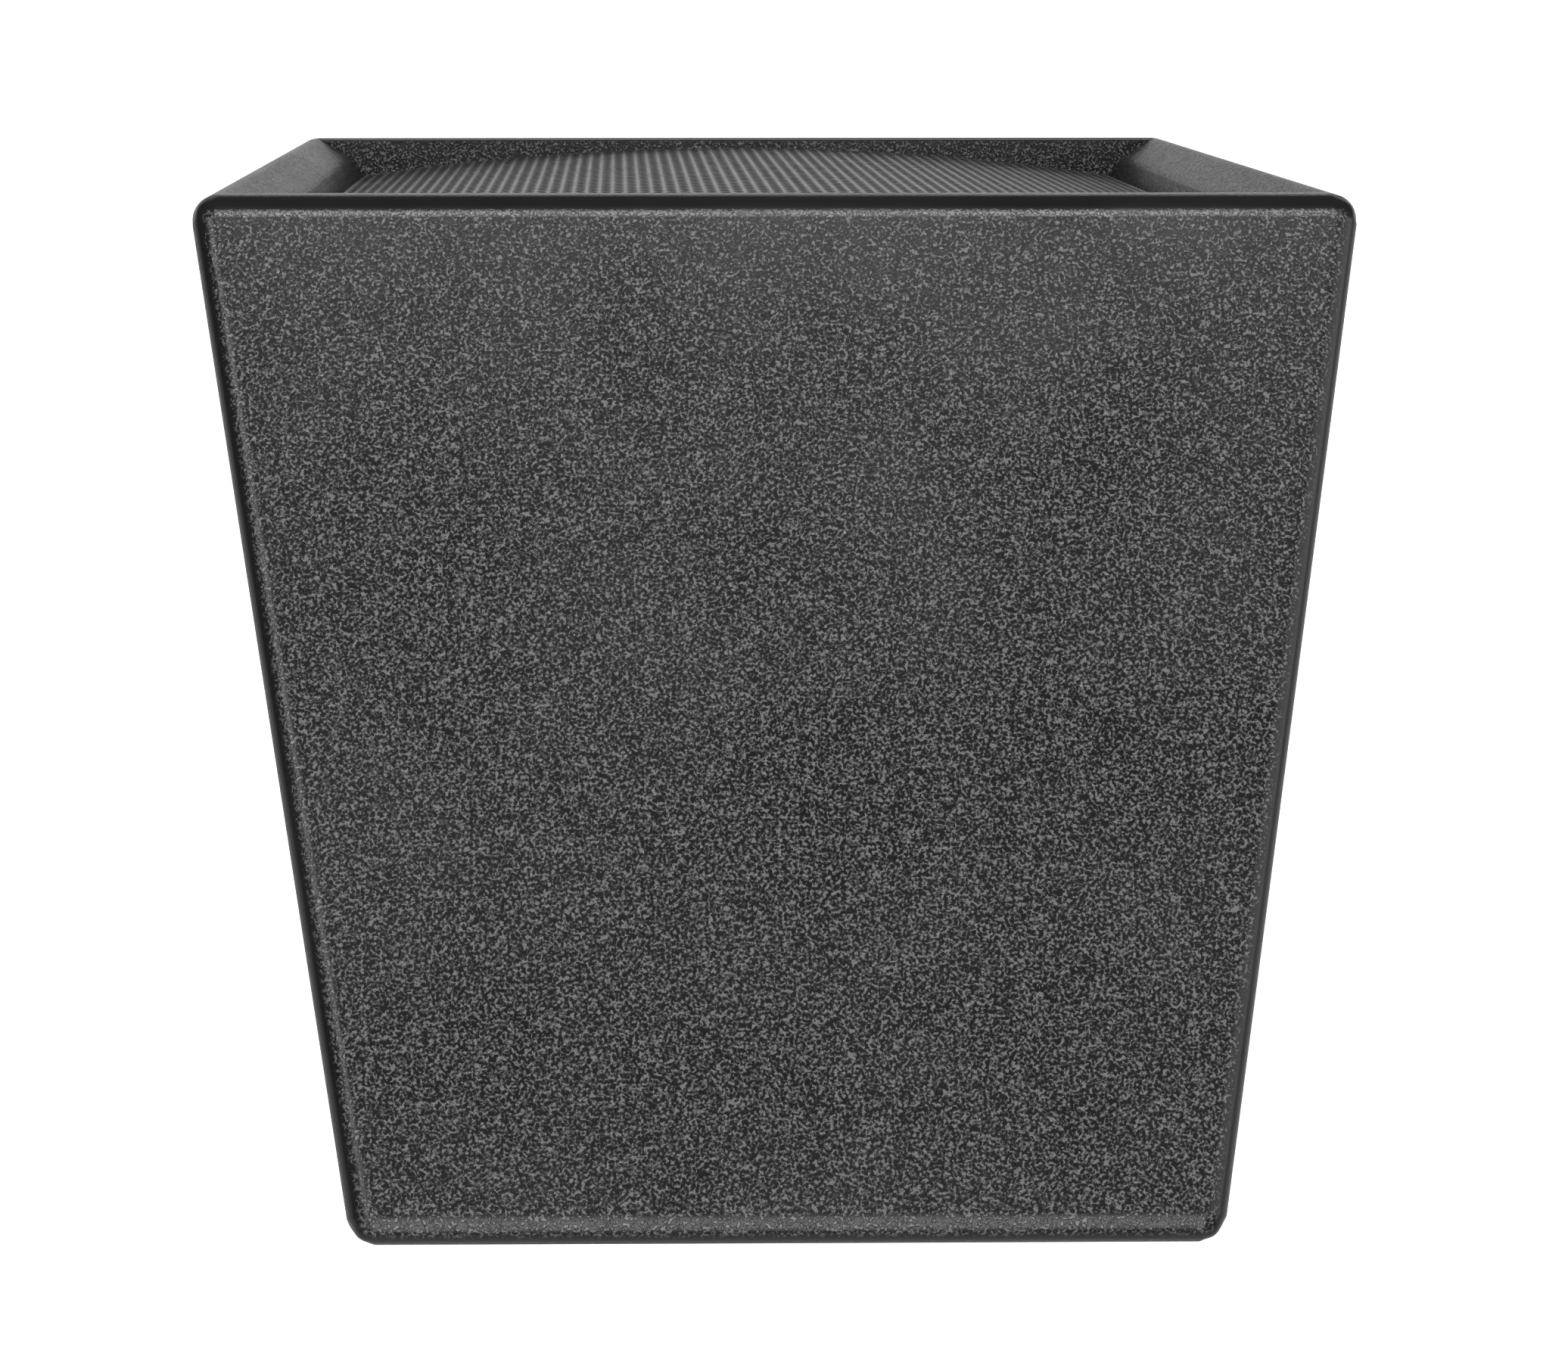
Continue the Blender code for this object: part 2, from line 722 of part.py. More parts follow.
def build_wadding():
    thickness = 0.022
    half_width = 0.108
    planes = [back_plane(WALL + GAP), flipped(back_plane(WALL + GAP + thickness))]
    planes += [rim_plane(0.068), flipped(rim_plane(0.175))]
    for side in (-1, 1):
        planes.append((Vector((side * half_width, 0, 0)), Vector((side, 0, 0)), False))
    panel("acoustic_wadding", planes, WADDING, rounded=False)


# Input plate on the rear panel


def socket(name, x, frame, plate_top):
    """A locking loudspeaker socket: square flange, barrel through the plate, open mouth."""
    flange_centre = Vector((0, 0, plate_top + GAP + SOCKET_FLANGE[2] / 2))
    flange = box(name, SOCKET_FLANGE, flange_centre, PLASTIC, frame)
    flange.location = (x, 0, 0)
    bm = bmesh.new()
    rod(bm, Vector((0, 0, 0)), SOCKET_RADIUS, -SOCKET_DEPTH, plate_top + 0.0025, SOCKET_SIDES)
    barrel = as_cutter(link(name + "_barrel", mesh_from(bm, name), None, frame, CUTTERS))
    barrel.location = (x, 0, 0)
    cut(flange, barrel, "UNION")
    mouth_radius = SOCKET_RADIUS - SOCKET_WALL
    mouth_foot = 0.003 - SOCKET_DEPTH
    mouth = rod_cutter(
        name + "_mouth", [(x, 0, 0)], mouth_radius, mouth_foot, 0.02, frame, SOCKET_SIDES
    )
    cut(flange, mouth)


def build_input_plate(rear):
    frame = make_frame(
        "rear_panel_frame", CABINET, (0, PLATE_Y, -BODY_DEPTH), Matrix.Rotation(pi, 4, "X")
    )
    width, height, thick = PLATE_SIZE
    plate_top = GAP + thick
    plate = box("input_plate", PLATE_SIZE, Vector((0, 0, GAP + thick / 2)), SCREW_STEEL, frame)
    opening = box_cutter("plate_cutout", (*PLATE_CUTOUT, 0.06), Vector((0, 0, 0)), frame)
    cut(rear, opening)
    centres = [(-SOCKET_X, 0, 0), (SOCKET_X, 0, 0)]
    clearance = SOCKET_RADIUS + GAP
    holes = rod_cutter("socket_holes", centres, clearance, -0.01, 0.01, frame, SOCKET_SIDES)
    cut(plate, holes)
    socket("input_socket", -SOCKET_X, frame, plate_top)
    socket("link_socket", SOCKET_X, frame, plate_top)
    build_mode_switch(frame, plate, plate_top)
    corners = [(x * (width / 2 - 0.007), y * (height / 2 - 0.007), 0) for x in (-1, 1) for y in (-1, 1)]
    screws("plate_screw", corners, frame, plate_top, 0.0040, 0.0020, 0.012, [plate, rear])


SWITCH_TRAVEL = 0.004


def build_mode_switch(frame, plate, plate_top):
    """A slide switch in a slot of the plate; its slide rests at the end towards -x."""
    slot = box_cutter("switch_slot", (0.0140, 0.0068, 0.02), Vector((0, 0, 0)), frame)
    cut(plate, slot)
    depth = 0.010
    housing = box(
        "switch_housing", (0.020, 0.011, depth), Vector((0, 0, -depth / 2)), PLASTIC, frame
    )
    pocket = box_cutter("switch_pocket", (0.0124, 0.0052, 0.012), Vector((0, 0, 0)), frame)
    cut(housing, pocket)
    slide = box(
        "mode_switch_slide",
        (0.0072, 0.0044, 0.0070),
        Vector((0, 0, 0)),
        PLATED,
        frame,
        bevel=0.0005,
    )
    slide.location = (-SWITCH_TRAVEL / 2, 0, plate_top - 0.0020)


# Recessed handles in the end panels


def build_handle(side, label, end_panel):
    point, _, _ = end_plane(side)
    lean = Matrix.Rotation(side * (pi / 2 + END_TAPER), 4, "Y")
    level = Matrix.Rotation(side * (pi / 2 - BAFFLE_ANGLE), 4, "Z")
    place = point + Vector((HANDLE_Z * side * tan(END_TAPER), HANDLE_Y, HANDLE_Z))
    frame = make_frame(f"handle_frame_{label}", CABINET, place, lean @ level)
    flange_width, flange_height, flange_thick = HANDLE_FLANGE
    dish_width, dish_height, dish_depth = HANDLE_DISH
    flange_centre = Vector((0, 0, GAP + flange_thick / 2))
    handle = box("carry_handle_" + label, HANDLE_FLANGE, flange_centre, PLASTIC, frame)
    dish_top = GAP + flange_thick / 2
    dish_centre = Vector((0, 0, dish_top - dish_depth / 2))
    dish = box_cutter(f"handle_dish_{label}", HANDLE_DISH, dish_centre, frame)
    cut(handle, dish, "UNION")
    inner = (dish_width - 2 * HANDLE_WALL, dish_height - 2 * HANDLE_WALL, dish_depth)
    pocket = box_cutter(
        f"handle_pocket_{label}", inner, dish_centre + Vector((0, 0, HANDLE_WALL)), frame
    )
    cut(handle, pocket)
    bm = bmesh.new()
    half = dish_width / 2 - HANDLE_WALL / 2
    rod(bm, Vector((0, 0, GAP - 0.009)), 0.0095, -half, half, 16, axis="X")
    bar = as_cutter(link(f"handle_bar_{label}", mesh_from(bm, "bar"), None, frame, CUTTERS))
    cut(handle, bar, "UNION")
    hole_size = (dish_width + 0.002, dish_height + 0.002, 0.08)
    hole = box_cutter(f"handle_hole_{label}", hole_size, Vector((0, 0, 0)), frame)
    cut(end_panel, hole)
    centres = [(x * (flange_width / 2 - 0.007), 0, 0) for x in (-1, 1)]
    screw_name = f"handle_screw_{label}"
    seat = GAP + flange_thick
    screws(screw_name, centres, frame, seat, 0.0040, 0.0020, 0.014, [handle, end_panel])


# Feet, upright in the world


def build_feet(floor):
    front_y, rear_y = footprint_range()
    stud_radius = 0.0030
    section = [
        (0, FOOT_HEIGHT + 0.012),
        (stud_radius, FOOT_HEIGHT + 0.012),
        (stud_radius, FOOT_HEIGHT - GAP),
        (0.0190, FOOT_HEIGHT - GAP),
        (0.0175, 0.0012),
        (0.0160, 0),
        (0, 0),
    ]
    places = {
        "front_left": (-0.165, front_y),
        "front_right": (0.165, front_y),
        "rear_left": (-0.112, rear_y),
        "rear_right": (0.112, rear_y),
    }
    for label, (x, y) in places.items():
        turned("rubber_foot_" + label, section, RUBBER, None, (x, y, 0), steps=20)
    spots = [(x, y, 0) for x, y in places.values()]
    studs = rod_cutter("foot_stud_holes", spots, stud_radius + GAP, 0, 0.0215, None, sides=10)
    cut(floor, studs)


def footprint_range():
    """World y of the front and rear feet, set in from the floor panel's ends."""
    inset = 0.035
    origin_y = CABINET.location.y
    floor_length = (BODY_DEPTH - LIP_DEPTH) / sin(BAFFLE_ANGLE)
    front_edge = origin_y - HALF_DEPTH * cos(BAFFLE_ANGLE) + LIP_DEPTH * sin(BAFFLE_ANGLE)
    return front_edge + inset, front_edge + floor_length - inset


def build_loom():
    """The two-core lead from the input plate up to the crossover board."""
    curve = bpy.data.curves.new("wire_loom", "CURVE")
    curve.dimensions = "3D"
    curve.bevel_depth = 0.0022
    curve.bevel_resolution = 2
    curve.use_fill_caps = True
    spline = curve.splines.new("POLY")
    route = [(-0.038, 0.205, -0.320), (-0.042, 0.212, -0.306), (-0.052, 0.228, -0.296)]
    route += [(-0.058, 0.246, -0.288), (-0.060, 0.262, -0.283), (-0.060, 0.2765, -0.279)]
    spline.points.add(len(route) - 1)
    for point, place in zip(spline.points, route):
        point.co = (*place, 1.0)
    link("wire_loom", curve, PLASTIC, CABINET)


def main():
    rear, floor = build_panels()
    for side, label in SIDES:
        end_panel = build_end_panel(side, label)
        build_cheek(side, label)
        build_handle(side, label, end_panel)
    baffle = build_baffle()
    build_grille()
    build_driver(baffle)
    build_ports(baffle)
    build_crossover()
    build_wadding()
    build_input_plate(rear)
    build_feet(floor)
    build_loom()


main()
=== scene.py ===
"""Looks of the stage monitor wedge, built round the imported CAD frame. Metres, +Z up.

Most shapes are made in the cabinet frame: x across, y up the baffle's slope, z out of the rim plane,
with its origin at the middle of the front opening. Their meshes are then put in the world.
"""

from math import cos, hypot, pi, radians, sin, sqrt, tan

import bmesh
import bpy
from mathutils import Matrix, Vector
from mathutils.noise import noise as noise_at


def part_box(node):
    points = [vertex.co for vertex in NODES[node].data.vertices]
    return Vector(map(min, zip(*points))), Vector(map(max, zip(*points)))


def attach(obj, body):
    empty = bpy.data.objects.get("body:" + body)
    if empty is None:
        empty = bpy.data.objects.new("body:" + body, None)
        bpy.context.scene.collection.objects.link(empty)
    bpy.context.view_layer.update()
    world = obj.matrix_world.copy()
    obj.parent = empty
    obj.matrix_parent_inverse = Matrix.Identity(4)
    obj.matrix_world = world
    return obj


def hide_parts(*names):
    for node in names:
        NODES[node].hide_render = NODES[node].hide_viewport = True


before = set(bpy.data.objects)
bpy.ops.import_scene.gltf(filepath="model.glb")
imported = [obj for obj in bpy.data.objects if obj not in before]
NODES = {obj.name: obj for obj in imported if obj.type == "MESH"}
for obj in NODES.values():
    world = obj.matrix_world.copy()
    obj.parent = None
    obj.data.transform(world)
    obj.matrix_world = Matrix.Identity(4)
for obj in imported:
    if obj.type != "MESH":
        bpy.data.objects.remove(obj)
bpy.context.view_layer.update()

# Cabinet, as the CAD has it
RIM_WIDTH = 0.430
RIM_DEPTH = 0.400
BODY_DEPTH = 0.348
LIP_DEPTH = 0.070
BAFFLE_ANGLE = radians(45)
END_TAPER = radians(10.5)
BACK_LEAN = radians(23.5)
WALL = 0.015
GAP = 0.0003  # between pieces, so that no two faces coincide
HALF_DEPTH = RIM_DEPTH / 2
MAGNET_CENTRE = (0, 0.008, -0.1371)  # of the magnet ring, in the cabinet frame

# Roundovers of the coated shell: the one along the top of the back panel is the fullest
EDGE_RADIUS = 0.0100
TOP_EDGE_RADIUS = 0.0124
ROUND_PROFILE = 0.50
ROUND_STEPS = 12

# The recess that holds the grille
ARRIS = 0.0011
CHEEK_APEX = 0.2040
CHEEK_APEX_ARC = 0.004
CHEEK_SLOPE = radians(30)
CHEEK_BREAK_X = 0.1905
CHEEK_HOLLOW = 0.013
CHEEK_STEEP = radians(53)
CHEEK_INNER_X = 0.1809
GROOVE_X = 0.1870
RECESS_FOOT = -0.046

# Perforated grille: round holes on a staggered pitch
GRILLE_HALF = 0.1804
GRILLE_CREST = -0.0046
GRILLE_RISE = 0.0130
GRILLE_SHEET = 0.0015
HOLE_PITCH = 0.0060
HOLE_RADIUS = 0.00215
HOLE_MARGIN = 0.0010
HOLE_SIDES = 12

# Pebbled relief on the cheeks, which are seen at a grazing angle
PEBBLE_STEP = 0.0005
PEBBLE_COLUMNS = 700
PEBBLE_SCALE = 560
PEBBLE_HEIGHT = 0.00018
SKIN_LIFT = 0.00004
SKIN_LAP = 0.0002  # how far the skin runs into the recess's end walls
FADE_IN_ROWS = 6
FADE_OUT_ROWS = 3
# The third material is painted shade: a near-black, speckless finish on the steep foot of each cheek.
CHEEK_COAT, GROOVE_PAINTED_SHADE = 1, 2  # places among the shell's materials

# Bump of the coating, faint on the cheeks, which have their pebbles as mesh
PANEL_BUMP = 0.00030
CHEEK_BUMP = 0.00003

# Handles: a handle's cup has its flange on the end panel and its dish inside the cabinet
HANDLE_ALONG = 0.120
HANDLE_DEPTH = -0.170
HANDLE_HOLE = (0.162, 0.074, 0.08)
HANDLE_FLANGE = (0.190, 0.098)
HANDLE_FLANGE_SHEET = 0.003
HANDLE_DISH = (0.160, 0.072)
HANDLE_SCREW_X = 0.088

# Input plate on the rear panel, with two sockets and a slide switch
PLATE_Y = 0.205
PLATE_SIZE = (0.150, 0.090)
PLATE_SHEET = 0.002
PLATE_HOLE = (0.126, 0.062, 0.06)
PLATE_SCREWS = [(x * 0.068, y * 0.038) for x in (-1, 1) for y in (-1, 1)]
SOCKET_X = 0.038
SOCKET_HOLE = 0.0123
SWITCH_SLOT = (0.0140, 0.0068)

SCREW_HEAD = 0.0040
SCREW_SHANK = 0.0020
SCREW_HOLE = 0.0023

MERGE_DISTANCE = 1e-6
CUT_TOLERANCE = 1e-7


# Frames


def cabinet_frame():
    """The cabinet frame in the world, found from the magnet ring, whose box is centred on it."""
    low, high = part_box("woofer_magnet")
    turn = Matrix.Rotation(BAFFLE_ANGLE, 4, "X")
    return Matrix.Translation((low + high) / 2 - turn @ Vector(MAGNET_CENTRE)) @ turn


CABINET = cabinet_frame()


# Mesh helpers


def as_object(name, mesh, matrix=None):
    """An object of this mesh at the world's origin, the mesh moved by the matrix."""
    if matrix is not None:
        mesh.transform(matrix)
    return new_object(name, mesh)


def frozen(bm, name="mesh"):
    """The bmesh as a mesh; the bmesh is then gone."""
    mesh = bpy.data.meshes.new(name)
    bm.to_mesh(mesh)
    bm.free()
    return mesh


def mesh_of(bm):
    """The bmesh as a mesh whose faces agree, looking outward where it is closed."""
    bmesh.ops.recalc_face_normals(bm, faces=bm.faces)
    return frozen(bm)


def new_object(name, data):
    obj = bpy.data.objects.new(name, data)
    bpy.context.scene.collection.objects.link(obj)
    return obj


def smooth(obj, angle, weighted=False):
    """Smooth shading, with edges that turn by more than the angle kept sharp."""
    obj.data.shade_smooth()
    obj.data.set_sharp_from_angle(angle=angle)
    if weighted:
        modifier = obj.modifiers.new("even_shading", "WEIGHTED_NORMAL")
        modifier.keep_sharp = True


def applied(obj):
    """The object with its modifiers turned into mesh."""
    graph = bpy.context.evaluated_depsgraph_get()
    mesh = bpy.data.meshes.new_from_object(obj.evaluated_get(graph))
    obj.modifiers.clear()
    obj.data = mesh
    return obj


def carve(obj, cutter, operation="DIFFERENCE"):
    """Cuts, joins or intersects with the cutter, which is then gone."""
    modifier = obj.modifiers.new("carve", "BOOLEAN")
    modifier.operation = operation
    modifier.solver = "EXACT"
    modifier.object = cutter
    applied(obj)
    bpy.data.objects.remove(cutter, do_unlink=True)
    return obj


def prism(name, outline, low, high, axis):
    """A solid of constant section: outline points are (x, z) along y, or (y, z) along x."""
    bm = bmesh.new()
    if axis == "Y":
        verts = [bm.verts.new((a, low, b)) for a, b in outline]
        step = Vector((0, high - low, 0))
    else:
        verts = [bm.verts.new((low, a, b)) for a, b in outline]
        step = Vector((high - low, 0, 0))
    face = bm.faces.new(verts)
    grown = bmesh.ops.extrude_face_region(bm, geom=[face])["geom"]
    moved = [item for item in grown if isinstance(item, bmesh.types.BMVert)]
    bmesh.ops.translate(bm, verts=moved, vec=step)
    return as_object(name, mesh_of(bm))


def add_box(bm, size, matrix):
    bmesh.ops.create_cube(bm, size=1.0, matrix=matrix @ Matrix.Diagonal((*size, 1.0)))


def block(name, size, matrix):
    bm = bmesh.new()
    add_box(bm, size, Matrix.Identity(4))
    return as_object(name, mesh_of(bm), matrix)


def lathe(profile, steps):
    """A mesh turned about z from (radius, height) points that run from the axis or back to the start."""
    bm = bmesh.new()
    verts = [bm.verts.new((radius, 0, height)) for radius, height in profile]
    edges = [bm.edges.new(pair) for pair in zip(verts, verts[1:])]
    if profile[0][0] > 0:
        edges.append(bm.edges.new((verts[-1], verts[0])))
    bmesh.ops.spin(bm, geom=verts + edges, axis=(0, 0, 1), cent=(0, 0, 0), angle=2 * pi, steps=steps)
    bmesh.ops.remove_doubles(bm, verts=bm.verts, dist=MERGE_DISTANCE)
    return mesh_of(bm)


def rounded_box_ring(width, height, radius, z, steps=6):
    """Points round a rectangle with round corners, at one height."""
    points = []
    for corner in range(4):
        sign_x = 1 if corner in (0, 3) else -1
        sign_y = 1 if corner in (0, 1) else -1
        centre = Vector((sign_x * (width / 2 - radius), sign_y * (height / 2 - radius), z))
        for i in range(steps + 1):
            a = (corner + i / steps) * pi / 2
            points.append(centre + radius * Vector((cos(a), sin(a), 0)))
    return points


def skin(rings):
    """A surface through rings of equally many points, closed at both ends."""
    bm = bmesh.new()
    rows = [[bm.verts.new(point) for point in ring] for ring in rings]
    count = len(rows[0])
    for first, second in zip(rows, rows[1:]):
        for i in range(count):
            j = (i + 1) % count
            bm.faces.new((first[i], first[j], second[j], second[i]))
    bm.faces.new(rows[0])
    bm.faces.new(rows[-1])
    return mesh_of(bm)


def arc(centre, radius, start, end, steps):
    """(u, v) points on an arc, angles from the u axis."""
    angles = [start + (end - start) * i / steps for i in range(steps + 1)]
    return [(centre[0] + radius * cos(a), centre[1] + radius * sin(a)) for a in angles]


def quarter_turn(steps):
    return [i / steps * pi / 2 for i in range(steps + 1)]


# Planes of the cabinet, in its frame: a point and an outward normal


def flat(y, z, normal, inset):
    normal = Vector(normal).normalized()
    return Vector((0, y, z)) - normal * inset, normal


def rim_plane(inset=0.0):
    return flat(0, 0, (0, 0, 1), inset)


def back_plane(inset=0.0):
    return flat(HALF_DEPTH, 0, (0, cos(BACK_LEAN), sin(BACK_LEAN)), inset)


def rear_plane(inset=0.0):
    return flat(0, -BODY_DEPTH, (0, 0, -1), inset)


def floor_plane(inset=0.0):
    return flat(-HALF_DEPTH, -LIP_DEPTH, (0, -sin(BAFFLE_ANGLE), -cos(BAFFLE_ANGLE)), inset)


def lip_plane(inset=0.0):
    return flat(-HALF_DEPTH, 0, (0, -1, 0), inset)


def end_plane(side, inset=0.0):
    normal = Vector((side * cos(END_TAPER), 0, -sin(END_TAPER)))
    return Vector((side * RIM_WIDTH / 2, 0, 0)) - normal * inset, normal


def outer_planes(inset=0.0):
    across = [rim_plane(inset), back_plane(inset), rear_plane(inset)]
    across += [floor_plane(inset), lip_plane(inset)]
    return across + [end_plane(-1, inset), end_plane(1, inset)]


def convex(planes):
    """A bmesh of the solid inside these planes."""
    bm = bmesh.new()
    bmesh.ops.create_cube(bm, size=2.0)
    for point, normal in planes:
        whole = bm.verts[:] + bm.edges[:] + bm.faces[:]
        sliced = bmesh.ops.bisect_plane(
            bm, geom=whole, plane_co=point, plane_no=normal, clear_outer=True, dist=CUT_TOLERANCE
        )
        rim = [item for item in sliced["geom_cut"] if isinstance(item, bmesh.types.BMEdge)]
        bmesh.ops.edgeloop_fill(bm, edges=rim)
    bmesh.ops.recalc_face_normals(bm, faces=bm.faces)
    return bm


# The coated shell


def setback(edge):
    """How far the roundover of this edge reaches along the faces beside it."""
    normals = [face.normal for face in edge.link_faces]
    top = any(n.z > 0.99 for n in normals) and any(n.y > 0.5 for n in normals)
    radius = TOP_EDGE_RADIUS if top else EDGE_RADIUS
    return radius * tan(normals[0].angle(normals[1]) / 2)


def rounded_body():
    """The cabinet's outer form, each edge rounded by a width that suits its turn."""
    bm = convex(outer_planes())
    weight = bm.edges.layers.float.new("bevel_weight_edge")
    widest = max(setback(edge) for edge in bm.edges)
    for edge in bm.edges:
        edge[weight] = setback(edge) / widest
    body = as_object("cabinet_shell", mesh_of(bm))
    bevel = body.modifiers.new("roundover", "BEVEL")
    bevel.limit_method = "WEIGHT"
    bevel.width = widest
    bevel.profile = ROUND_PROFILE
    bevel.segments = ROUND_STEPS
    return applied(body)


def cheek_profile():
    """(x, z) points of the right cheek, from the crest of the end panel down to the grille's edge."""
    crest = arc((CHEEK_APEX, -CHEEK_APEX_ARC), CHEEK_APEX_ARC, pi / 2, pi / 2 + CHEEK_SLOPE, 5)
    end_x, end_z = crest[-1]
    break_z = end_z - (end_x - CHEEK_BREAK_X) * tan(CHEEK_SLOPE)
    centre = (
        CHEEK_BREAK_X + CHEEK_HOLLOW * sin(CHEEK_SLOPE),
        break_z - CHEEK_HOLLOW * cos(CHEEK_SLOPE),
    )
    hollow = arc(centre, CHEEK_HOLLOW, pi / 2 + CHEEK_SLOPE, pi / 2 + CHEEK_STEEP, 8)
    last_x, last_z = hollow[-1]
    foot = (CHEEK_INNER_X, last_z - (last_x - CHEEK_INNER_X) * tan(CHEEK_STEEP))
    return crest + hollow + [foot, (CHEEK_INNER_X, RECESS_FOOT)]


def cheek_samples():
    """(place, outward normal) pairs at close steps down the cheek, each place an (x, z)."""
    line = cheek_profile()[1:-1]
    samples = []
    for (x0, z0), (x1, z1) in zip(line, line[1:]):
        span = hypot(x1 - x0, z1 - z0)
        parts = max(1, round(span / PEBBLE_STEP))
        out = Vector((z1 - z0, 0, x0 - x1)) / span
        out = out if out.z > 0 else -out
        for i in range(parts):
            samples.append(((x0 + (x1 - x0) * i / parts, z0 + (z1 - z0) * i / parts), out))
    return samples


def cheek_skin(side):
    """The surface of a cheek with its pebbles as real relief, and the smooth groove at its foot, which
    carries painted shade.
    """
    samples = cheek_samples()
    groove_starts = sum(1 for (x, _), _ in samples if x > GROOVE_X)
    low_y = -HALF_DEPTH + WALL - SKIN_LAP
    bm = bmesh.new()
    rows = []
    for step, ((x, z), out) in enumerate(samples):
        fade_out = max(0.0, (groove_starts - step) / FADE_OUT_ROWS)
        fade = min(1.0, step / FADE_IN_ROWS, fade_out)
        high_y = HALF_DEPTH - WALL / cos(BACK_LEAN) - z * tan(BACK_LEAN) + SKIN_LAP
        row = []
        for i in range(PEBBLE_COLUMNS + 1):
            point = Vector((x, low_y + (high_y - low_y) * i / PEBBLE_COLUMNS, z))
            grain = 0.5 + noise_at(point * PEBBLE_SCALE)
            point += out * fade * (SKIN_LIFT + PEBBLE_HEIGHT * min(max(grain, 0.0), 1.0))
            row.append(bm.verts.new((side * point.x, point.y, point.z)))
        rows.append(row)
    for step, (first, second) in enumerate(zip(rows, rows[1:])):
        for corners in zip(first, first[1:], second[1:], second):
            face = bm.faces.new(corners)
            face.smooth = True
            # Rows past the groove's start take the painted-shade material.
            face.material_index = CHEEK_COAT if step < groove_starts else GROOVE_PAINTED_SHADE
    bm.normal_update()
    if sum(face.normal.z for face in bm.faces[:50]) < 0:
        bmesh.ops.reverse_faces(bm, faces=bm.faces)
    return frozen(bm, "cheek_skin")


def recess_cutter():
    """The space inside the rim: the cheeks bound it across, and the two long walls along the slope."""
    above, past_ends, past_sides = 0.02, 0.5, 0.4
    outer_x = CHEEK_APEX + 0.002
    right = [(outer_x, above), (outer_x, 0.0)] + cheek_profile()
    left = [(-x, z) for x, z in reversed(right)]
    across = prism("recess_across", right + left, -past_ends, past_ends, "Y")
    near_y = HALF_DEPTH - WALL / cos(BACK_LEAN)
    far_y = HALF_DEPTH - WALL
    near_foot = near_y - RECESS_FOOT * tan(BACK_LEAN)
    near = arc((near_y + ARRIS, -ARRIS), ARRIS, pi / 2, pi + BACK_LEAN, 5)
    far = [(-y, z) for y, z in arc((far_y + ARRIS, -ARRIS), ARRIS, pi / 2, pi, 5)]
    walls = [(near_y + ARRIS, above)] + near + [(near_foot, RECESS_FOOT), (-far_y, RECESS_FOOT)]
    walls += list(reversed(far)) + [(-far_y - ARRIS, above)]
    along = prism("recess_along", walls, -past_sides, past_sides, "X")
    return carve(across, along, "INTERSECT")


def handle_frame(side):
    """A handle's frame, in the cabinet frame: x level, z out of the end panel."""
    point, _ = end_plane(side)
    lean = Matrix.Rotation(side * (pi / 2 + END_TAPER), 4, "Y")
    level = Matrix.Rotation(side * (pi / 2 - BAFFLE_ANGLE), 4, "Z")
    spot = point + Vector((HANDLE_DEPTH * side * tan(END_TAPER), HANDLE_ALONG, HANDLE_DEPTH))
    return Matrix.Translation(spot) @ lean @ level


def plate_frame():
    """The input plate's frame, in the cabinet frame: z out of the rear panel."""
    return Matrix.Translation((0, PLATE_Y, -BODY_DEPTH)) @ Matrix.Rotation(pi, 4, "X")


def build_shell():
    shell = rounded_body()
    carve(shell, recess_cutter())
    overlap = 0.0015  # the cavity rises into the recess by this much, so that the two open into one
    cavity = convex([rim_plane(-RECESS_FOOT - overlap)] + outer_planes(WALL)[1:])
    carve(shell, as_object("cavity", mesh_of(cavity)))
    for side in (-1, 1):
        carve(shell, block("handle_hole", HANDLE_HOLE, handle_frame(side)))
    carve(shell, block("plate_hole", PLATE_HOLE, plate_frame()))
    bm = bmesh.new()
    bm.from_mesh(shell.data)
    for side in (-1, 1):
        bm.from_mesh(cheek_skin(side))
    bm.to_mesh(shell.data)
    bm.free()
    shell.data.transform(CABINET)
    shell.data.materials.clear()
    shell.data.materials.append(coating("textured_coating", PANEL_BUMP))
    shell.data.materials.append(coating("textured_coating_on_cheeks", CHEEK_BUMP))
    shell.data.materials.append(groove_painted_shade())
    smooth(shell, radians(24), weighted=True)
    panels = ["back_panel", "rear_panel", "floor_panel", "front_panel"]
    panels += ["end_panel_left", "end_panel_right", "grille_cheek_left", "grille_cheek_right"]
    place(shell, "cabinet", "cabinet_coating", *panels)


def place(obj, body, slot, *nodes):
    """Rides the body and stands for the nodes, which it hides; the slot is not used."""
    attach(obj, body)
    if nodes:
        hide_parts(*nodes)


# The perforated grille and the foam behind it


def arch(x):
    """Height of the grille's outer face at x, a circular arc."""
    radius = (GRILLE_HALF**2 + GRILLE_RISE**2) / (2 * GRILLE_RISE)
    return GRILLE_CREST - radius + sqrt(radius**2 - x**2)


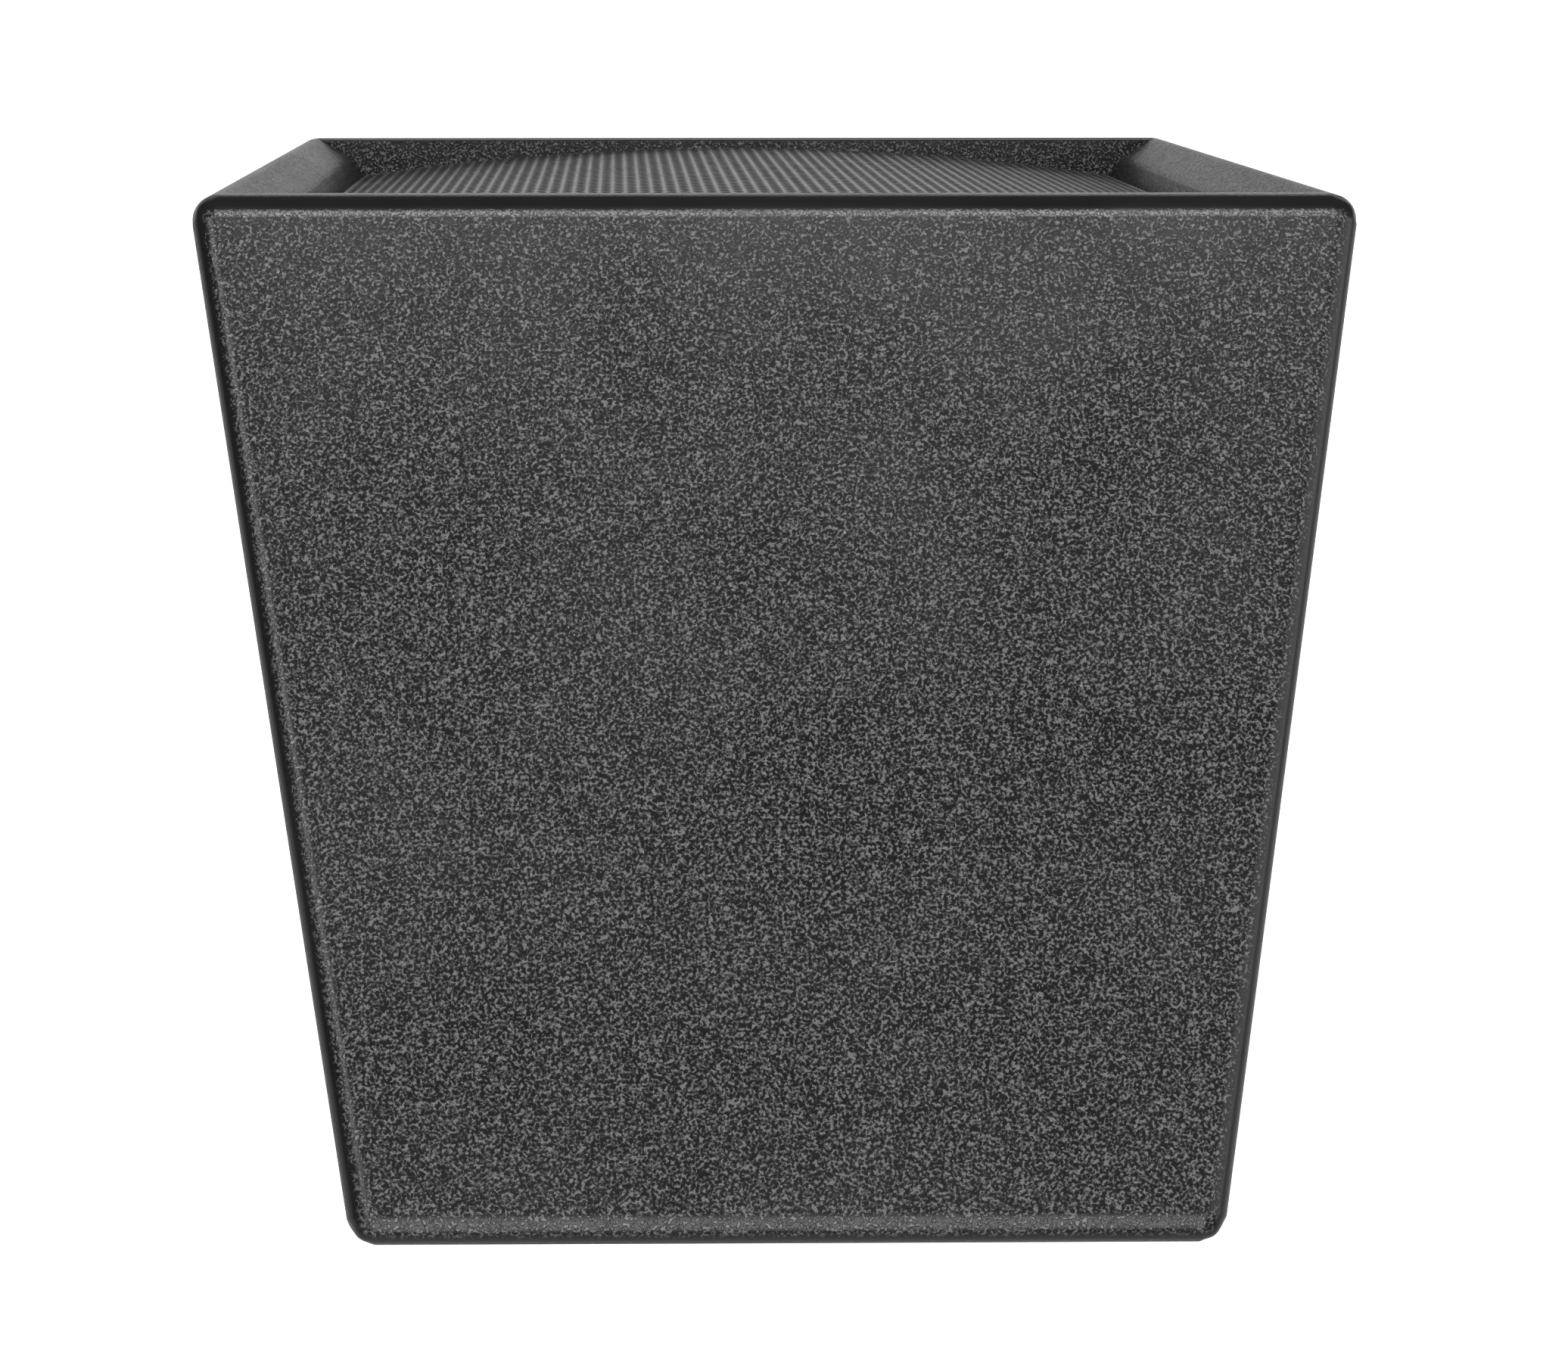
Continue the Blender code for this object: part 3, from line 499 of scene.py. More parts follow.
def perforated_sheet():
    """A flat sheet of hexagonal cells with a round hole in each, except along its margins."""
    column = HOLE_PITCH * sqrt(3) / 2
    columns = int(GRILLE_HALF / column) + 2
    rows = int(HALF_DEPTH / HOLE_PITCH) + 2
    last_x = GRILLE_HALF - HOLE_MARGIN - HOLE_RADIUS
    last_y = HALF_DEPTH - WALL - HOLE_MARGIN - HOLE_RADIUS
    angles = [2 * pi * i / HOLE_SIDES for i in range(HOLE_SIDES)]
    reach = [HOLE_PITCH / sqrt(3) if i % 2 == 0 else HOLE_PITCH / 2 for i in range(HOLE_SIDES)]
    points = []
    index = {}
    faces = []

    def vertex(x, y):
        """The point's number: neighbouring cells share a point that differs only by rounding."""
        key = (round(x * 1e6), round(y * 1e6))
        for step_x, step_y in ((0, 0), (1, 0), (-1, 0), (0, 1), (0, -1)):
            near = (key[0] + step_x, key[1] + step_y)
            if near in index:
                return index[near]
        index[key] = len(points)
        points.append((x, y, 0.0))
        return index[key]

    for i in range(-columns, columns + 1):
        for j in range(-rows, rows + 1):
            x = i * column
            y = (j + (i % 2) / 2) * HOLE_PITCH
            rim = [vertex(x + r * cos(a), y + r * sin(a)) for r, a in zip(reach, angles)]
            if abs(x) > last_x or abs(y) > last_y:
                faces.append(rim)
                continue
            hole = [vertex(x + HOLE_RADIUS * cos(a), y + HOLE_RADIUS * sin(a)) for a in angles]
            for k in range(HOLE_SIDES):
                n = (k + 1) % HOLE_SIDES
                faces.append((rim[k], rim[n], hole[n], hole[k]))
    mesh = bpy.data.meshes.new("perforated_grille")
    mesh.from_pydata(points, [], faces)
    return mesh


def trim(bm, planes):
    for point, normal in planes:
        whole = bm.verts[:] + bm.edges[:] + bm.faces[:]
        bmesh.ops.bisect_plane(bm, geom=whole, plane_co=point, plane_no=normal, clear_outer=True)


def build_grille():
    bm = bmesh.new()
    bm.from_mesh(perforated_sheet())
    sides = [(Vector((s * GRILLE_HALF, 0, 0)), Vector((s, 0, 0))) for s in (-1, 1)]
    trim(bm, sides)
    for vert in bm.verts:
        vert.co.z = arch(vert.co.x)
    clearance = 0.0006
    trim(bm, [back_plane(WALL + clearance), lip_plane(WALL + clearance)])
    for face in bm.faces:
        if face.normal.z < 0:
            face.normal_flip()
    grille = as_object("perforated_grille", frozen(bm, "perforated_grille"), CABINET)
    grille.data.materials.append(powder_coat("grille_powder_coat", 0.060, 0.26))
    grille.data.materials.append(hole_wall_painted_shade())
    thickness = grille.modifiers.new("sheet", "SOLIDIFY")
    thickness.thickness = GRILLE_SHEET
    thickness.offset = -1.0
    # The rim faces, the hole walls among them, take the second material, painted shade.
    thickness.material_offset_rim = 1
    applied(grille)
    smooth(grille, radians(40))
    place(grille, "cabinet", "grille_steel", "front_grille")


def build_foam():
    """A sheet of foam that follows the grille's arch, just under the steel."""
    half_width = GRILLE_HALF - 0.001
    below_grille = GRILLE_SHEET + GAP
    thickness = 0.006
    low_y, high_y = -0.184, 0.1842
    bm = bmesh.new()
    bmesh.ops.create_grid(bm, x_segments=60, y_segments=60, size=1.0)
    for vert in bm.verts:
        x = vert.co.x * half_width
        y = low_y + (vert.co.y + 1) / 2 * (high_y - low_y)
        vert.co = Vector((x, y, arch(x) - below_grille))
    foam = as_object("foam_sheet", mesh_of(bm), CABINET)
    solid = foam.modifiers.new("thickness", "SOLIDIFY")
    solid.thickness = thickness
    solid.offset = -1.0
    applied(foam)
    smooth(foam, radians(50))
    foam.data.materials.append(cellular_foam())
    place(foam, "cabinet", "acoustic_foam", "grille_foam")


def inside_back_panel(z):
    """y of the back panel's inner face at this z, a gap away."""
    return HALF_DEPTH - z * tan(BACK_LEAN) - (WALL + GAP) / cos(BACK_LEAN)


def build_wadding():
    """A soft mat on the back panel's inner face: a pillowed slab with a lumpy surface."""
    thickness, half_width = 0.021, 0.107
    low, high = -0.174, -0.069
    bm = bmesh.new()
    bmesh.ops.create_grid(bm, x_segments=44, y_segments=24, size=1.0)
    for vert in bm.verts:
        u, v = vert.co.x, vert.co.y
        plump = (1 - u**6) * (1 - v**6)
        lumps = 0.5 + 0.25 * sin(9 * u + 2 * v) + 0.25 * sin(5 * v - 4 * u)
        depth = thickness * (0.35 + 0.65 * plump * (0.75 + 0.25 * lumps))
        z = low + (v + 1) / 2 * (high - low)
        vert.co = Vector((u * half_width, inside_back_panel(z) - depth / cos(BACK_LEAN), z))
    front = bm.faces[:]
    grown = bmesh.ops.extrude_face_region(bm, geom=front)["geom"]
    for vert in [item for item in grown if isinstance(item, bmesh.types.BMVert)]:
        vert.co.y = inside_back_panel(vert.co.z)
    wadding = as_object("wadding_mat", mesh_of(bm), CABINET)
    smooth(wadding, radians(60))
    wadding.data.materials.append(fibre_mat())
    place(wadding, "cabinet", "wadding", "acoustic_wadding")


# Handles in the end panels


def drawn_in(size, inset):
    """A rectangle's width and height with each side moved in by this much."""
    return size[0] - 2 * inset, size[1] - 2 * inset


def handle_cup_mesh():
    """The moulded cup: a flange with eased edges, drafted walls, and the same walls outside."""
    floor, underside, top = -0.0425, -0.0440, GAP + HANDLE_FLANGE_SHEET
    wall, draft, chamfer = 0.003, 0.006, 0.006
    fillet, lip, edge = 0.010, 0.0035, 0.0022
    corner, deep_corner = 0.016, 0.014
    inner = drawn_in(HANDLE_DISH, wall)
    rings = [rounded_box_ring(0.050, 0.004, 0.0015, floor)]
    for a in quarter_turn(6):
        size = drawn_in(inner, draft + fillet - fillet * sin(a))
        rings.append(rounded_box_ring(*size, deep_corner, floor + fillet * (1 - cos(a))))
    for a in quarter_turn(5):
        size = drawn_in(inner, lip * (cos(a) - 1))
        rings.append(rounded_box_ring(*size, corner, top - lip + lip * sin(a)))
    for a in quarter_turn(5):
        size = drawn_in(HANDLE_FLANGE, edge * (1 - sin(a)))
        rings.append(rounded_box_ring(*size, corner, top - edge * (1 - cos(a))))
    rings.append(rounded_box_ring(*HANDLE_FLANGE, corner, GAP))
    rings.append(rounded_box_ring(*HANDLE_DISH, corner, GAP))
    rings.append(rounded_box_ring(*drawn_in(HANDLE_DISH, draft), deep_corner, underside + chamfer))
    rings.append(rounded_box_ring(*drawn_in(HANDLE_DISH, draft + chamfer), 0.012, underside))
    return skin(rings)


def handle_grip_mesh():
    """The bar across the cup: an oval section that swells where it runs into the end walls."""
    half_length, centre_z = 0.0765, GAP - 0.0100
    half_width, half_height, flattening = 0.0090, 0.0098, 0.92
    flare_depth, rib_depth, ribbed_share = 0.0065, 0.0005, 0.72
    stations, points_round = 40, 28
    rings = []
    for i in range(stations + 1):
        u = -1 + 2 * i / stations
        flare = flare_depth * abs(u) ** 9
        rib = rib_depth * (i % 2) if abs(u) < ribbed_share else 0.0
        wide = half_width + flare - rib
        deep = (half_height + 0.6 * flare - rib) * flattening
        angles = [2 * pi * k / points_round for k in range(points_round)]
        rings.append([Vector((u * half_length, wide * cos(a), centre_z + deep * sin(a))) for a in angles])
    return skin(rings)


def build_handles():
    plastic = moulded_plastic("handle_plastic", 0.014)
    soft = rubber("grip_rubber")
    for side, label in ((-1, "left"), (1, "right")):
        matrix = CABINET @ handle_frame(side)
        cup = as_object(f"handle_cup_{label}", handle_cup_mesh(), matrix)
        cup.data.materials.append(plastic)
        smooth(cup, radians(38), weighted=True)
        place(cup, "cabinet", "moulded_plastic", f"carry_handle_{label}")
        grip = as_object(f"handle_grip_{label}", handle_grip_mesh(), matrix)
        grip.data.materials.append(soft)
        smooth(grip, radians(60))
        place(grip, "cabinet", "rubber")


# Screws


def screw_mesh(length):
    """A pan-head screw with a hexagonal recess and a thread; its seat is at z = 0."""
    height = SCREW_HEAD * 0.75
    corner = SCREW_HEAD * 0.45
    root = SCREW_SHANK * 0.82
    turns = 9
    pitch = length / turns
    profile = [(0.0, height)]
    profile += arc((SCREW_HEAD - corner, height - corner), corner, pi / 2, 0, 6)
    profile += [(SCREW_HEAD, 0.0), (SCREW_SHANK, 0.0)]
    for i in range(turns):
        z = -i * pitch
        profile += [(SCREW_SHANK, z - 0.2 * pitch), (root, z - 0.6 * pitch)]
    profile += [(SCREW_SHANK / 2, -length), (0.0, -length)]
    screw = as_object("screw", lathe(profile, 32))
    bm = bmesh.new()
    narrow, wide = SCREW_HEAD * 0.30, SCREW_HEAD * 0.34
    bmesh.ops.create_cone(bm, cap_ends=True, segments=6, radius1=narrow, radius2=wide, depth=height)
    bmesh.ops.translate(bm, verts=bm.verts, vec=(0, 0, height))
    carve(screw, as_object("screw_recess", mesh_of(bm)))
    mesh = screw.data
    bpy.data.objects.remove(screw, do_unlink=True)
    mesh.shade_smooth()
    mesh.set_sharp_from_angle(angle=radians(35))
    return mesh


def build_screws():
    steel = metal("black_screw", 0.05, 0.38, 0.9)
    handle_screw = screw_mesh(0.014)
    plate_screw = screw_mesh(0.012)
    handle_screw.materials.append(steel)
    plate_screw.materials.append(steel)
    handle_seat = 2 * GAP + HANDLE_FLANGE_SHEET
    plate_seat = 2 * GAP + PLATE_SHEET
    for side, label in ((-1, "left"), (1, "right")):
        for i, x in enumerate((-HANDLE_SCREW_X, HANDLE_SCREW_X)):
            spot = CABINET @ handle_frame(side) @ Matrix.Translation((x, 0, handle_seat))
            add_screw(f"handle_screw_{label}_{i + 1}", handle_screw, spot)
    for i, (x, y) in enumerate(PLATE_SCREWS):
        spot = CABINET @ plate_frame() @ Matrix.Translation((x, y, plate_seat))
        add_screw(f"plate_screw_{i + 1}", plate_screw, spot)


def add_screw(node_name, mesh, matrix):
    screw = new_object(node_name.replace("screw", "pan_head_screw"), mesh)
    screw.matrix_world = matrix
    place(screw, "cabinet", "black_steel", node_name)


# Input plate


def outline_curve(outlines, thickness, edge):
    """A flat plate from closed outlines, the inner ones as holes, with eased edges."""
    curve = bpy.data.curves.new("outline", "CURVE")
    curve.dimensions = "2D"
    curve.fill_mode = "BOTH"
    curve.extrude = thickness / 2 - edge
    curve.bevel_depth = edge
    curve.bevel_resolution = 2
    curve.offset = -edge
    for outline in outlines:
        spline = curve.splines.new("POLY")
        spline.points.add(len(outline) - 1)
        for point, (x, y) in zip(spline.points, outline):
            point.co = (x, y, 0, 1)
        spline.use_cyclic_u = True
    obj = new_object("outline", curve)
    bpy.context.view_layer.update()
    graph = bpy.context.evaluated_depsgraph_get()
    mesh = bpy.data.meshes.new_from_object(obj.evaluated_get(graph))
    bpy.data.objects.remove(obj, do_unlink=True)
    bm = bmesh.new()
    bm.from_mesh(mesh)
    bmesh.ops.remove_doubles(bm, verts=bm.verts, dist=MERGE_DISTANCE)
    return mesh_of(bm)


def circle(x, y, radius, count=40):
    angles = [2 * pi * i / count for i in range(count)]
    return [(x + radius * cos(a), y + radius * sin(a)) for a in angles]


def rectangle(width, height, radius, steps=5):
    return [(p.x, p.y) for p in rounded_box_ring(width, height, radius, 0, steps)]


def build_plate():
    outlines = [rectangle(*PLATE_SIZE, 0.006)]
    outlines += [circle(x, 0, SOCKET_HOLE) for x in (-SOCKET_X, SOCKET_X)]
    outlines += [rectangle(*SWITCH_SLOT, 0.001)]
    outlines += [circle(x, y, SCREW_HOLE, 16) for x, y in PLATE_SCREWS]
    mesh = outline_curve(outlines, PLATE_SHEET, 0.0004)
    mesh.transform(Matrix.Translation((0, 0, GAP + PLATE_SHEET / 2)))
    plate = as_object("connector_plate", mesh, CABINET @ plate_frame())
    plate.data.materials.clear()
    plate.data.materials.append(powder_coat("plate_powder_coat", 0.018, 0.40))
    smooth(plate, radians(40))
    place(plate, "cabinet", "black_steel", "input_plate")
    for sign, name in ((-1, "input"), (1, "link")):
        build_socket(sign * SOCKET_X, name)


def build_socket(x, name):
    """A locking loudspeaker socket: flange, raised collar, open barrel, keyed core."""
    seat = 2 * GAP + PLATE_SHEET
    bore, outside = 0.0104, 0.0120
    end, inner_end = -0.0260, -0.0230
    flange_sheet = 0.003
    flange = outline_curve([rectangle(0.028, 0.034, 0.004), circle(0, 0, bore)], flange_sheet, 0.0005)
    flange.transform(Matrix.Translation((0, 0, seat + flange_sheet / 2)))
    barrel = [(0.0, end), (outside, end), (outside, seat + 0.0024), (0.0117, seat + 0.0029)]
    barrel += [(0.0110, seat + 0.0031), (bore, seat + 0.0027), (bore, inner_end), (0.0, inner_end)]
    core = [(0.0, -0.0232), (0.0058, -0.0232), (0.0058, -0.0030), (0.0054, -0.0024)]
    core += [(0.0030, -0.0024), (0.0028, -0.0080), (0.0, -0.0080)]
    bm = bmesh.new()
    for mesh in (flange, lathe(barrel, 48), lathe(core, 32)):
        bm.from_mesh(mesh)
    key_size, key_place = (0.0016, 0.0022, 0.0200), (0.0098, 0, -0.012)
    for angle in (pi / 2, pi / 2 + radians(150), pi / 2 - radians(130)):
        add_box(bm, key_size, Matrix.Rotation(angle, 4, "Z") @ Matrix.Translation(key_place))
    matrix = CABINET @ plate_frame() @ Matrix.Translation((x, 0, 0))
    socket = as_object(name + "_receptacle", mesh_of(bm), matrix)
    socket.data.materials.clear()
    socket.data.materials.append(moulded_plastic(name + "_socket_plastic", 0.012))
    smooth(socket, radians(40))
    place(socket, "cabinet", "moulded_plastic", name + "_socket")


def build_switch():
    """The slide of the mode switch, ridged for a fingertip."""
    low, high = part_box("mode_switch_slide")
    seat = CABINET.inverted() @ ((low + high) / 2)
    size, corner, half_height = (0.0070, 0.0042), 0.0005, 0.0034
    chamfer, ridge_pitch, ridge_size = 0.0002, 0.0013, (0.0006, 0.0036, 0.0008)
    rings = [rounded_box_ring(*size, corner, z, 3) for z in (-half_height, half_height - 0.0009)]
    rings.append(rounded_box_ring(*drawn_in(size, chamfer), corner, half_height - 0.0005, 3))
    bm = bmesh.new()
    bm.from_mesh(skin(rings))
    for i in range(-2, 3):
        add_box(bm, ridge_size, Matrix.Translation((i * ridge_pitch, 0, half_height - 0.0004)))
    turn = CABINET @ Matrix.Translation(seat) @ Matrix.Rotation(pi, 4, "X")
    slide = as_object("switch_slide", mesh_of(bm), turn)
    slide.data.materials.append(moulded_plastic("switch_plastic", 0.30))
    smooth(slide, radians(30))
    place(slide, "mode_switch", "plated_steel", "mode_switch_slide")


# Feet


def build_feet():
    """Turned rubber feet, each with a tread ring underneath and a stem up into the floor panel."""
    top, shoulder, tread_z = 0.0200, 0.0077, 0.0034
    profile = [(0.0, top), (0.0030, top), (0.0030, shoulder), (0.0188, shoulder), (0.0190, 0.0072)]
    profile += [(0.0180, 0.0016)] + arc((0.0166, 0.0012), 0.0012, 0, -pi / 2, 5)
    profile += [(0.0120, 0.0), (0.0114, 0.0003), (0.0108, 0.0), (0.0075, 0.0), (0.0070, 0.0010)]
    profile += [(0.0066, tread_z), (0.0, tread_z)]
    mesh = lathe(profile, 56)
    mesh.materials.append(rubber("foot_rubber"))
    for label in ("front_left", "front_right", "rear_left", "rear_right"):
        low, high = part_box("rubber_foot_" + label)
        foot = new_object("turned_foot_" + label, mesh)
        foot.location = ((low.x + high.x) / 2, (low.y + high.y) / 2, 0)
        smooth(foot, radians(30))
        place(foot, "cabinet", "rubber", "rubber_foot_" + label)


# Materials


def node(tree, kind, inputs=None, **settings):
    """A node with its settings, and its inputs given as values or as sockets to link from."""
    made = tree.nodes.new(kind)
    for key, value in settings.items():
        setattr(made, key, value)
    for key, value in (inputs or {}).items():
        if isinstance(value, bpy.types.NodeSocket):
            tree.links.new(value, made.inputs[key])
        else:
            made.inputs[key].default_value = value
    return made


def maths(tree, operation, a, b=0.0):
    return node(tree, "ShaderNodeMath", {0: a, 1: b}, operation=operation).outputs[0]


def remap(tree, value, low, high, to_low=0.0, to_high=1.0, kind="SMOOTHSTEP"):
    inputs = {"Value": value, "From Min": low, "From Max": high, "To Min": to_low, "To Max": to_high}
    return node(tree, "ShaderNodeMapRange", inputs, interpolation_type=kind).outputs["Result"]


def noise(tree, where, scale, detail=2.0, roughness=0.5, distortion=0.0):
    inputs = {"Vector": where, "Scale": scale, "Detail": detail, "Roughness": roughness}
    inputs["Distortion"] = distortion
    return node(tree, "ShaderNodeTexNoise", inputs).outputs["Fac"]


def blend_colours(tree, share, first, second):
    """Mixes two colours, each given as numbers or as a socket."""
    made = node(tree, "ShaderNodeMix", data_type="RGBA")
    tree.links.new(share, made.inputs["Factor"])
    for identifier, colour in (("A_Color", first), ("B_Color", second)):
        socket = next(item for item in made.inputs if item.identifier == identifier)
        if isinstance(colour, bpy.types.NodeSocket):
            tree.links.new(colour, socket)
        else:
            socket.default_value = (*colour, 1.0)
    return next(item for item in made.outputs if item.identifier == "Result_Color")


def new_material(name, roughness=0.5, metallic=0.0, specular=0.5):
    """(material, tree, shader, object coordinates)"""
    made = bpy.data.materials.new(name)
    made.use_nodes = True
    tree = made.node_tree
    shader = tree.nodes["Principled BSDF"]
    shader.inputs["Roughness"].default_value = roughness
    shader.inputs["Metallic"].default_value = metallic
    shader.inputs["Specular IOR Level"].default_value = specular
    where = tree.nodes.new("ShaderNodeTexCoord").outputs["Object"]
    return made, tree, shader, where


def set_bump(tree, shader, height, distance, strength=1.0):
    inputs = {"Height": height, "Distance": distance, "Strength": strength}
    bump = node(tree, "ShaderNodeBump", inputs)
    tree.links.new(bump.outputs["Normal"], shader.inputs["Normal"])


def grey(value, tint=0.0):
    return (value, value, value * (1 + tint))


def nearness(tree, where, plane, reach):
    """1 within the first distance of a plane, falling to 0 at the second."""
    point, normal = plane
    world_normal = (CABINET.to_3x3() @ normal).normalized()
    dot = node(tree, "ShaderNodeVectorMath", {0: where, 1: world_normal}, operation="DOT_PRODUCT")
    away = maths(tree, "SUBTRACT", dot.outputs["Value"], world_normal.dot(CABINET @ point))
    return remap(tree, maths(tree, "ABSOLUTE", away), *reach, 1.0, 0.0)


def flatness(tree, where):
    """1 on flat panels and 0 on rounded edges, from how near a point is to two planes at once."""
    total = 0.0
    edge_reach = (0.0035, 0.0080)
    for plane in outer_planes():
        total = maths(tree, "ADD", nearness(tree, where, plane, edge_reach), total)
    flats = remap(tree, total, 1.0, 1.9, 1.0, 0.0, "LINEAR")
    arris_reach = (ARRIS * 0.9, ARRIS * 1.6)
    rim = nearness(tree, where, rim_plane(), arris_reach)
    for inner in (lip_plane(WALL), back_plane(WALL)):
        arris = maths(tree, "MULTIPLY", rim, nearness(tree, where, inner, arris_reach))
        flats = maths(tree, "MULTIPLY", flats, maths(tree, "SUBTRACT", 1.0, arris))
    return flats


def coating(name, relief):
    """Sprayed textured coating: a pebbled grain that runs out on the rounded edges, with pale specks on the
    pebble tops that are partly the coat's flecks and partly painted glints.
    """
    made, tree, shader, where = new_material(name, 0.22, specular=0.36)
    flats = flatness(tree, where)
    pebbles = noise(tree, where, 900, 1.0, 0.5, 0.4)
    height = remap(tree, pebbles, 0.46, 0.66)
    # Pale specks on the pebble tops, partly the coat's own flecks and partly painted glints: a highlight
    # put in the colour.
    flecks_and_painted_glints = maths(tree, "MULTIPLY", remap(tree, pebbles, 0.51, 0.66), flats)
    drift = noise(tree, where, 14, 3.0, 0.55)
    base = blend_colours(tree, drift, grey(0.003, 0.03), grey(0.008, 0.02))
    tree.links.new(blend_colours(tree, flecks_and_painted_glints, base, grey(0.078, 0.02)), shader.inputs["Base Color"])
    rough = remap(tree, drift, 0.3, 0.7, 0.19, 0.25, "LINEAR")
    tree.links.new(rough, shader.inputs["Roughness"])
    strength = remap(tree, flats, 0.0, 1.0, 0.03, 1.0, "LINEAR")
    set_bump(tree, shader, height, relief, strength)
    return made


def groove_painted_shade():
    """Painted shade: a plain near-black, dull material on the groove at each cheek's foot, where the
    grille's edge sits, in place of the shade that falls there.
    """
    made, tree, shader, where = new_material("groove_painted_shade", 0.35, specular=0.2)
    groove_mottle = noise(tree, where, 900, 3.0, 0.6)
    tree.links.new(blend_colours(tree, groove_mottle, grey(0.002), grey(0.006)), shader.inputs["Base Color"])
    set_bump(tree, shader, groove_mottle, 0.00002, 0.6)
    return made


def powder_coat(name, value, roughness):
    """Satin powder coat on sheet steel."""
    made, tree, shader, where = new_material(name, roughness)
    peel = noise(tree, where, 900, 2.0, 0.5)
    drift = noise(tree, where, 22, 3.0, 0.6)
    colour = blend_colours(tree, drift, grey(value * 0.75), grey(value * 1.35, 0.03))
    tree.links.new(colour, shader.inputs["Base Color"])
    spread = remap(tree, drift, 0.3, 0.7, roughness * 0.85, roughness * 1.15, "LINEAR")
    tree.links.new(spread, shader.inputs["Roughness"])
    set_bump(tree, shader, peel, 0.00005, 0.8)
    return made


def hole_wall_painted_shade():
    """Painted shade on the walls of the punched holes: a near-black, dull material where shade falls inside
    the holes.
    """
    made, tree, shader, where = new_material("hole_wall_painted_shade", 0.8, specular=0.1)
    drift = noise(tree, where, 600, 2.0)
    tree.links.new(blend_colours(tree, drift, grey(0.003), grey(0.009)), shader.inputs["Base Color"])
    set_bump(tree, shader, drift, 0.00005, 0.6)
    return made


def cellular_foam():
    """Open-cell foam."""
    made, tree, shader, where = new_material("cellular_foam", 0.95, specular=0.2)
    inputs = {"Vector": where, "Scale": 900.0, "Randomness": 1.0}
    cells = node(tree, "ShaderNodeTexVoronoi", inputs).outputs["Distance"]
    drift = noise(tree, where, 60, 2.0)
    shade = maths(tree, "MULTIPLY", cells, maths(tree, "ADD", drift, 0.4))
    colour = blend_colours(tree, shade, grey(0.004), grey(0.018))
    tree.links.new(colour, shader.inputs["Base Color"])
    set_bump(tree, shader, cells, 0.0006, 1.0)
    return made


def fibre_mat():
    """Polyester wadding: matted white fibres."""
    made, tree, shader, where = new_material("polyester_fibres", 0.95, specular=0.2)
    fibres = noise(tree, where, 900, 5.0, 0.7, 2.0)
    lumps = noise(tree, where, 70, 2.0)
    colour = blend_colours(tree, fibres, (0.50, 0.50, 0.48), (0.85, 0.85, 0.83))
    tree.links.new(colour, shader.inputs["Base Color"])
    set_bump(tree, shader, maths(tree, "ADD", fibres, lumps), 0.0015, 0.9)
    return made


def moulded_plastic(name, value):
    """Moulded plastic with a spark-eroded surface."""
    made, tree, shader, where = new_material(name, 0.45)
    grain = noise(tree, where, 1900, 2.0, 0.6)
    drift = noise(tree, where, 30, 3.0)
    colour = blend_colours(tree, drift, grey(value * 0.8), grey(value * 1.25, 0.04))
    tree.links.new(colour, shader.inputs["Base Color"])
    tree.links.new(remap(tree, drift, 0.3, 0.7, 0.40, 0.56, "LINEAR"), shader.inputs["Roughness"])
    set_bump(tree, shader, grain, 0.00008, 0.8)
    return made


def rubber(name):
    made, tree, shader, where = new_material(name, 0.8, specular=0.35)
    scuffs = noise(tree, where, 160, 4.0, 0.65)
    grain = noise(tree, where, 1400, 2.0)
    colour = blend_colours(tree, scuffs, grey(0.012), grey(0.030))
    tree.links.new(colour, shader.inputs["Base Color"])
    tree.links.new(remap(tree, scuffs, 0.35, 0.7, 0.70, 0.92, "LINEAR"), shader.inputs["Roughness"])
    set_bump(tree, shader, grain, 0.0001, 0.7)
    return made


def metal(name, value, roughness, metallic=1.0, tint=(1, 1, 1), scale=500):
    made, tree, shader, where = new_material(name, roughness, metallic)
    wear = noise(tree, where, scale, 3.0, 0.6)
    drift = noise(tree, where, 40, 2.0)
    dark = tuple(value * 0.8 * part for part in tint)
    light = tuple(min(1.0, value * 1.2 * part) for part in tint)
    colour = blend_colours(tree, drift, dark, light)
    tree.links.new(colour, shader.inputs["Base Color"])
    spread = remap(tree, wear, 0.3, 0.7, roughness * 0.8, min(1.0, roughness * 1.25), "LINEAR")
    tree.links.new(spread, shader.inputs["Roughness"])
    set_bump(tree, shader, wear, 0.00004, 0.7)
    return made


def squared_to_cabinet(tree, where):
    """Object coordinates turned so that their z runs out of the baffle."""
    inputs = {"Vector": where, "Rotation": (-BAFFLE_ANGLE, 0, 0)}
    return node(tree, "ShaderNodeMapping", inputs).outputs["Vector"]


def plywood():
    """Birch plywood: long grain on the faces and pale and dark plies on the edges."""
    made, tree, shader, where = new_material("birch_plywood", 0.65)
    turned = squared_to_cabinet(tree, where)
    inputs = {"Vector": turned, "Scale": (0.12, 1.0, 1.0)}
    stretched = node(tree, "ShaderNodeMapping", inputs).outputs["Vector"]
    grain = noise(tree, stretched, 260, 5.0, 0.6, 0.6)
    inputs = {"Vector": turned, "Scale": 110.0, "Distortion": 0.4, "Detail": 1.0}
    plies = node(tree, "ShaderNodeTexWave", inputs, bands_direction="Z").outputs["Fac"]
    share = maths(tree, "ADD", maths(tree, "MULTIPLY", grain, 0.7), maths(tree, "MULTIPLY", plies, 0.3))
    colour = blend_colours(tree, share, (0.42, 0.28, 0.15), (0.72, 0.56, 0.36))
    tree.links.new(colour, shader.inputs["Base Color"])
    set_bump(tree, shader, grain, 0.0003, 0.6)
    return made


def fibrous(name, dark, light, scale, roughness, depth):
    """Pulp, cloth or laminate: two tones mixed by a fibrous noise."""
    made, tree, shader, where = new_material(name, roughness, specular=0.3)
    fibres = noise(tree, where, scale, 5.0, 0.65, 1.0)
    colour = blend_colours(tree, fibres, dark, light)
    tree.links.new(colour, shader.inputs["Base Color"])
    set_bump(tree, shader, fibres, depth, 0.8)
    return made


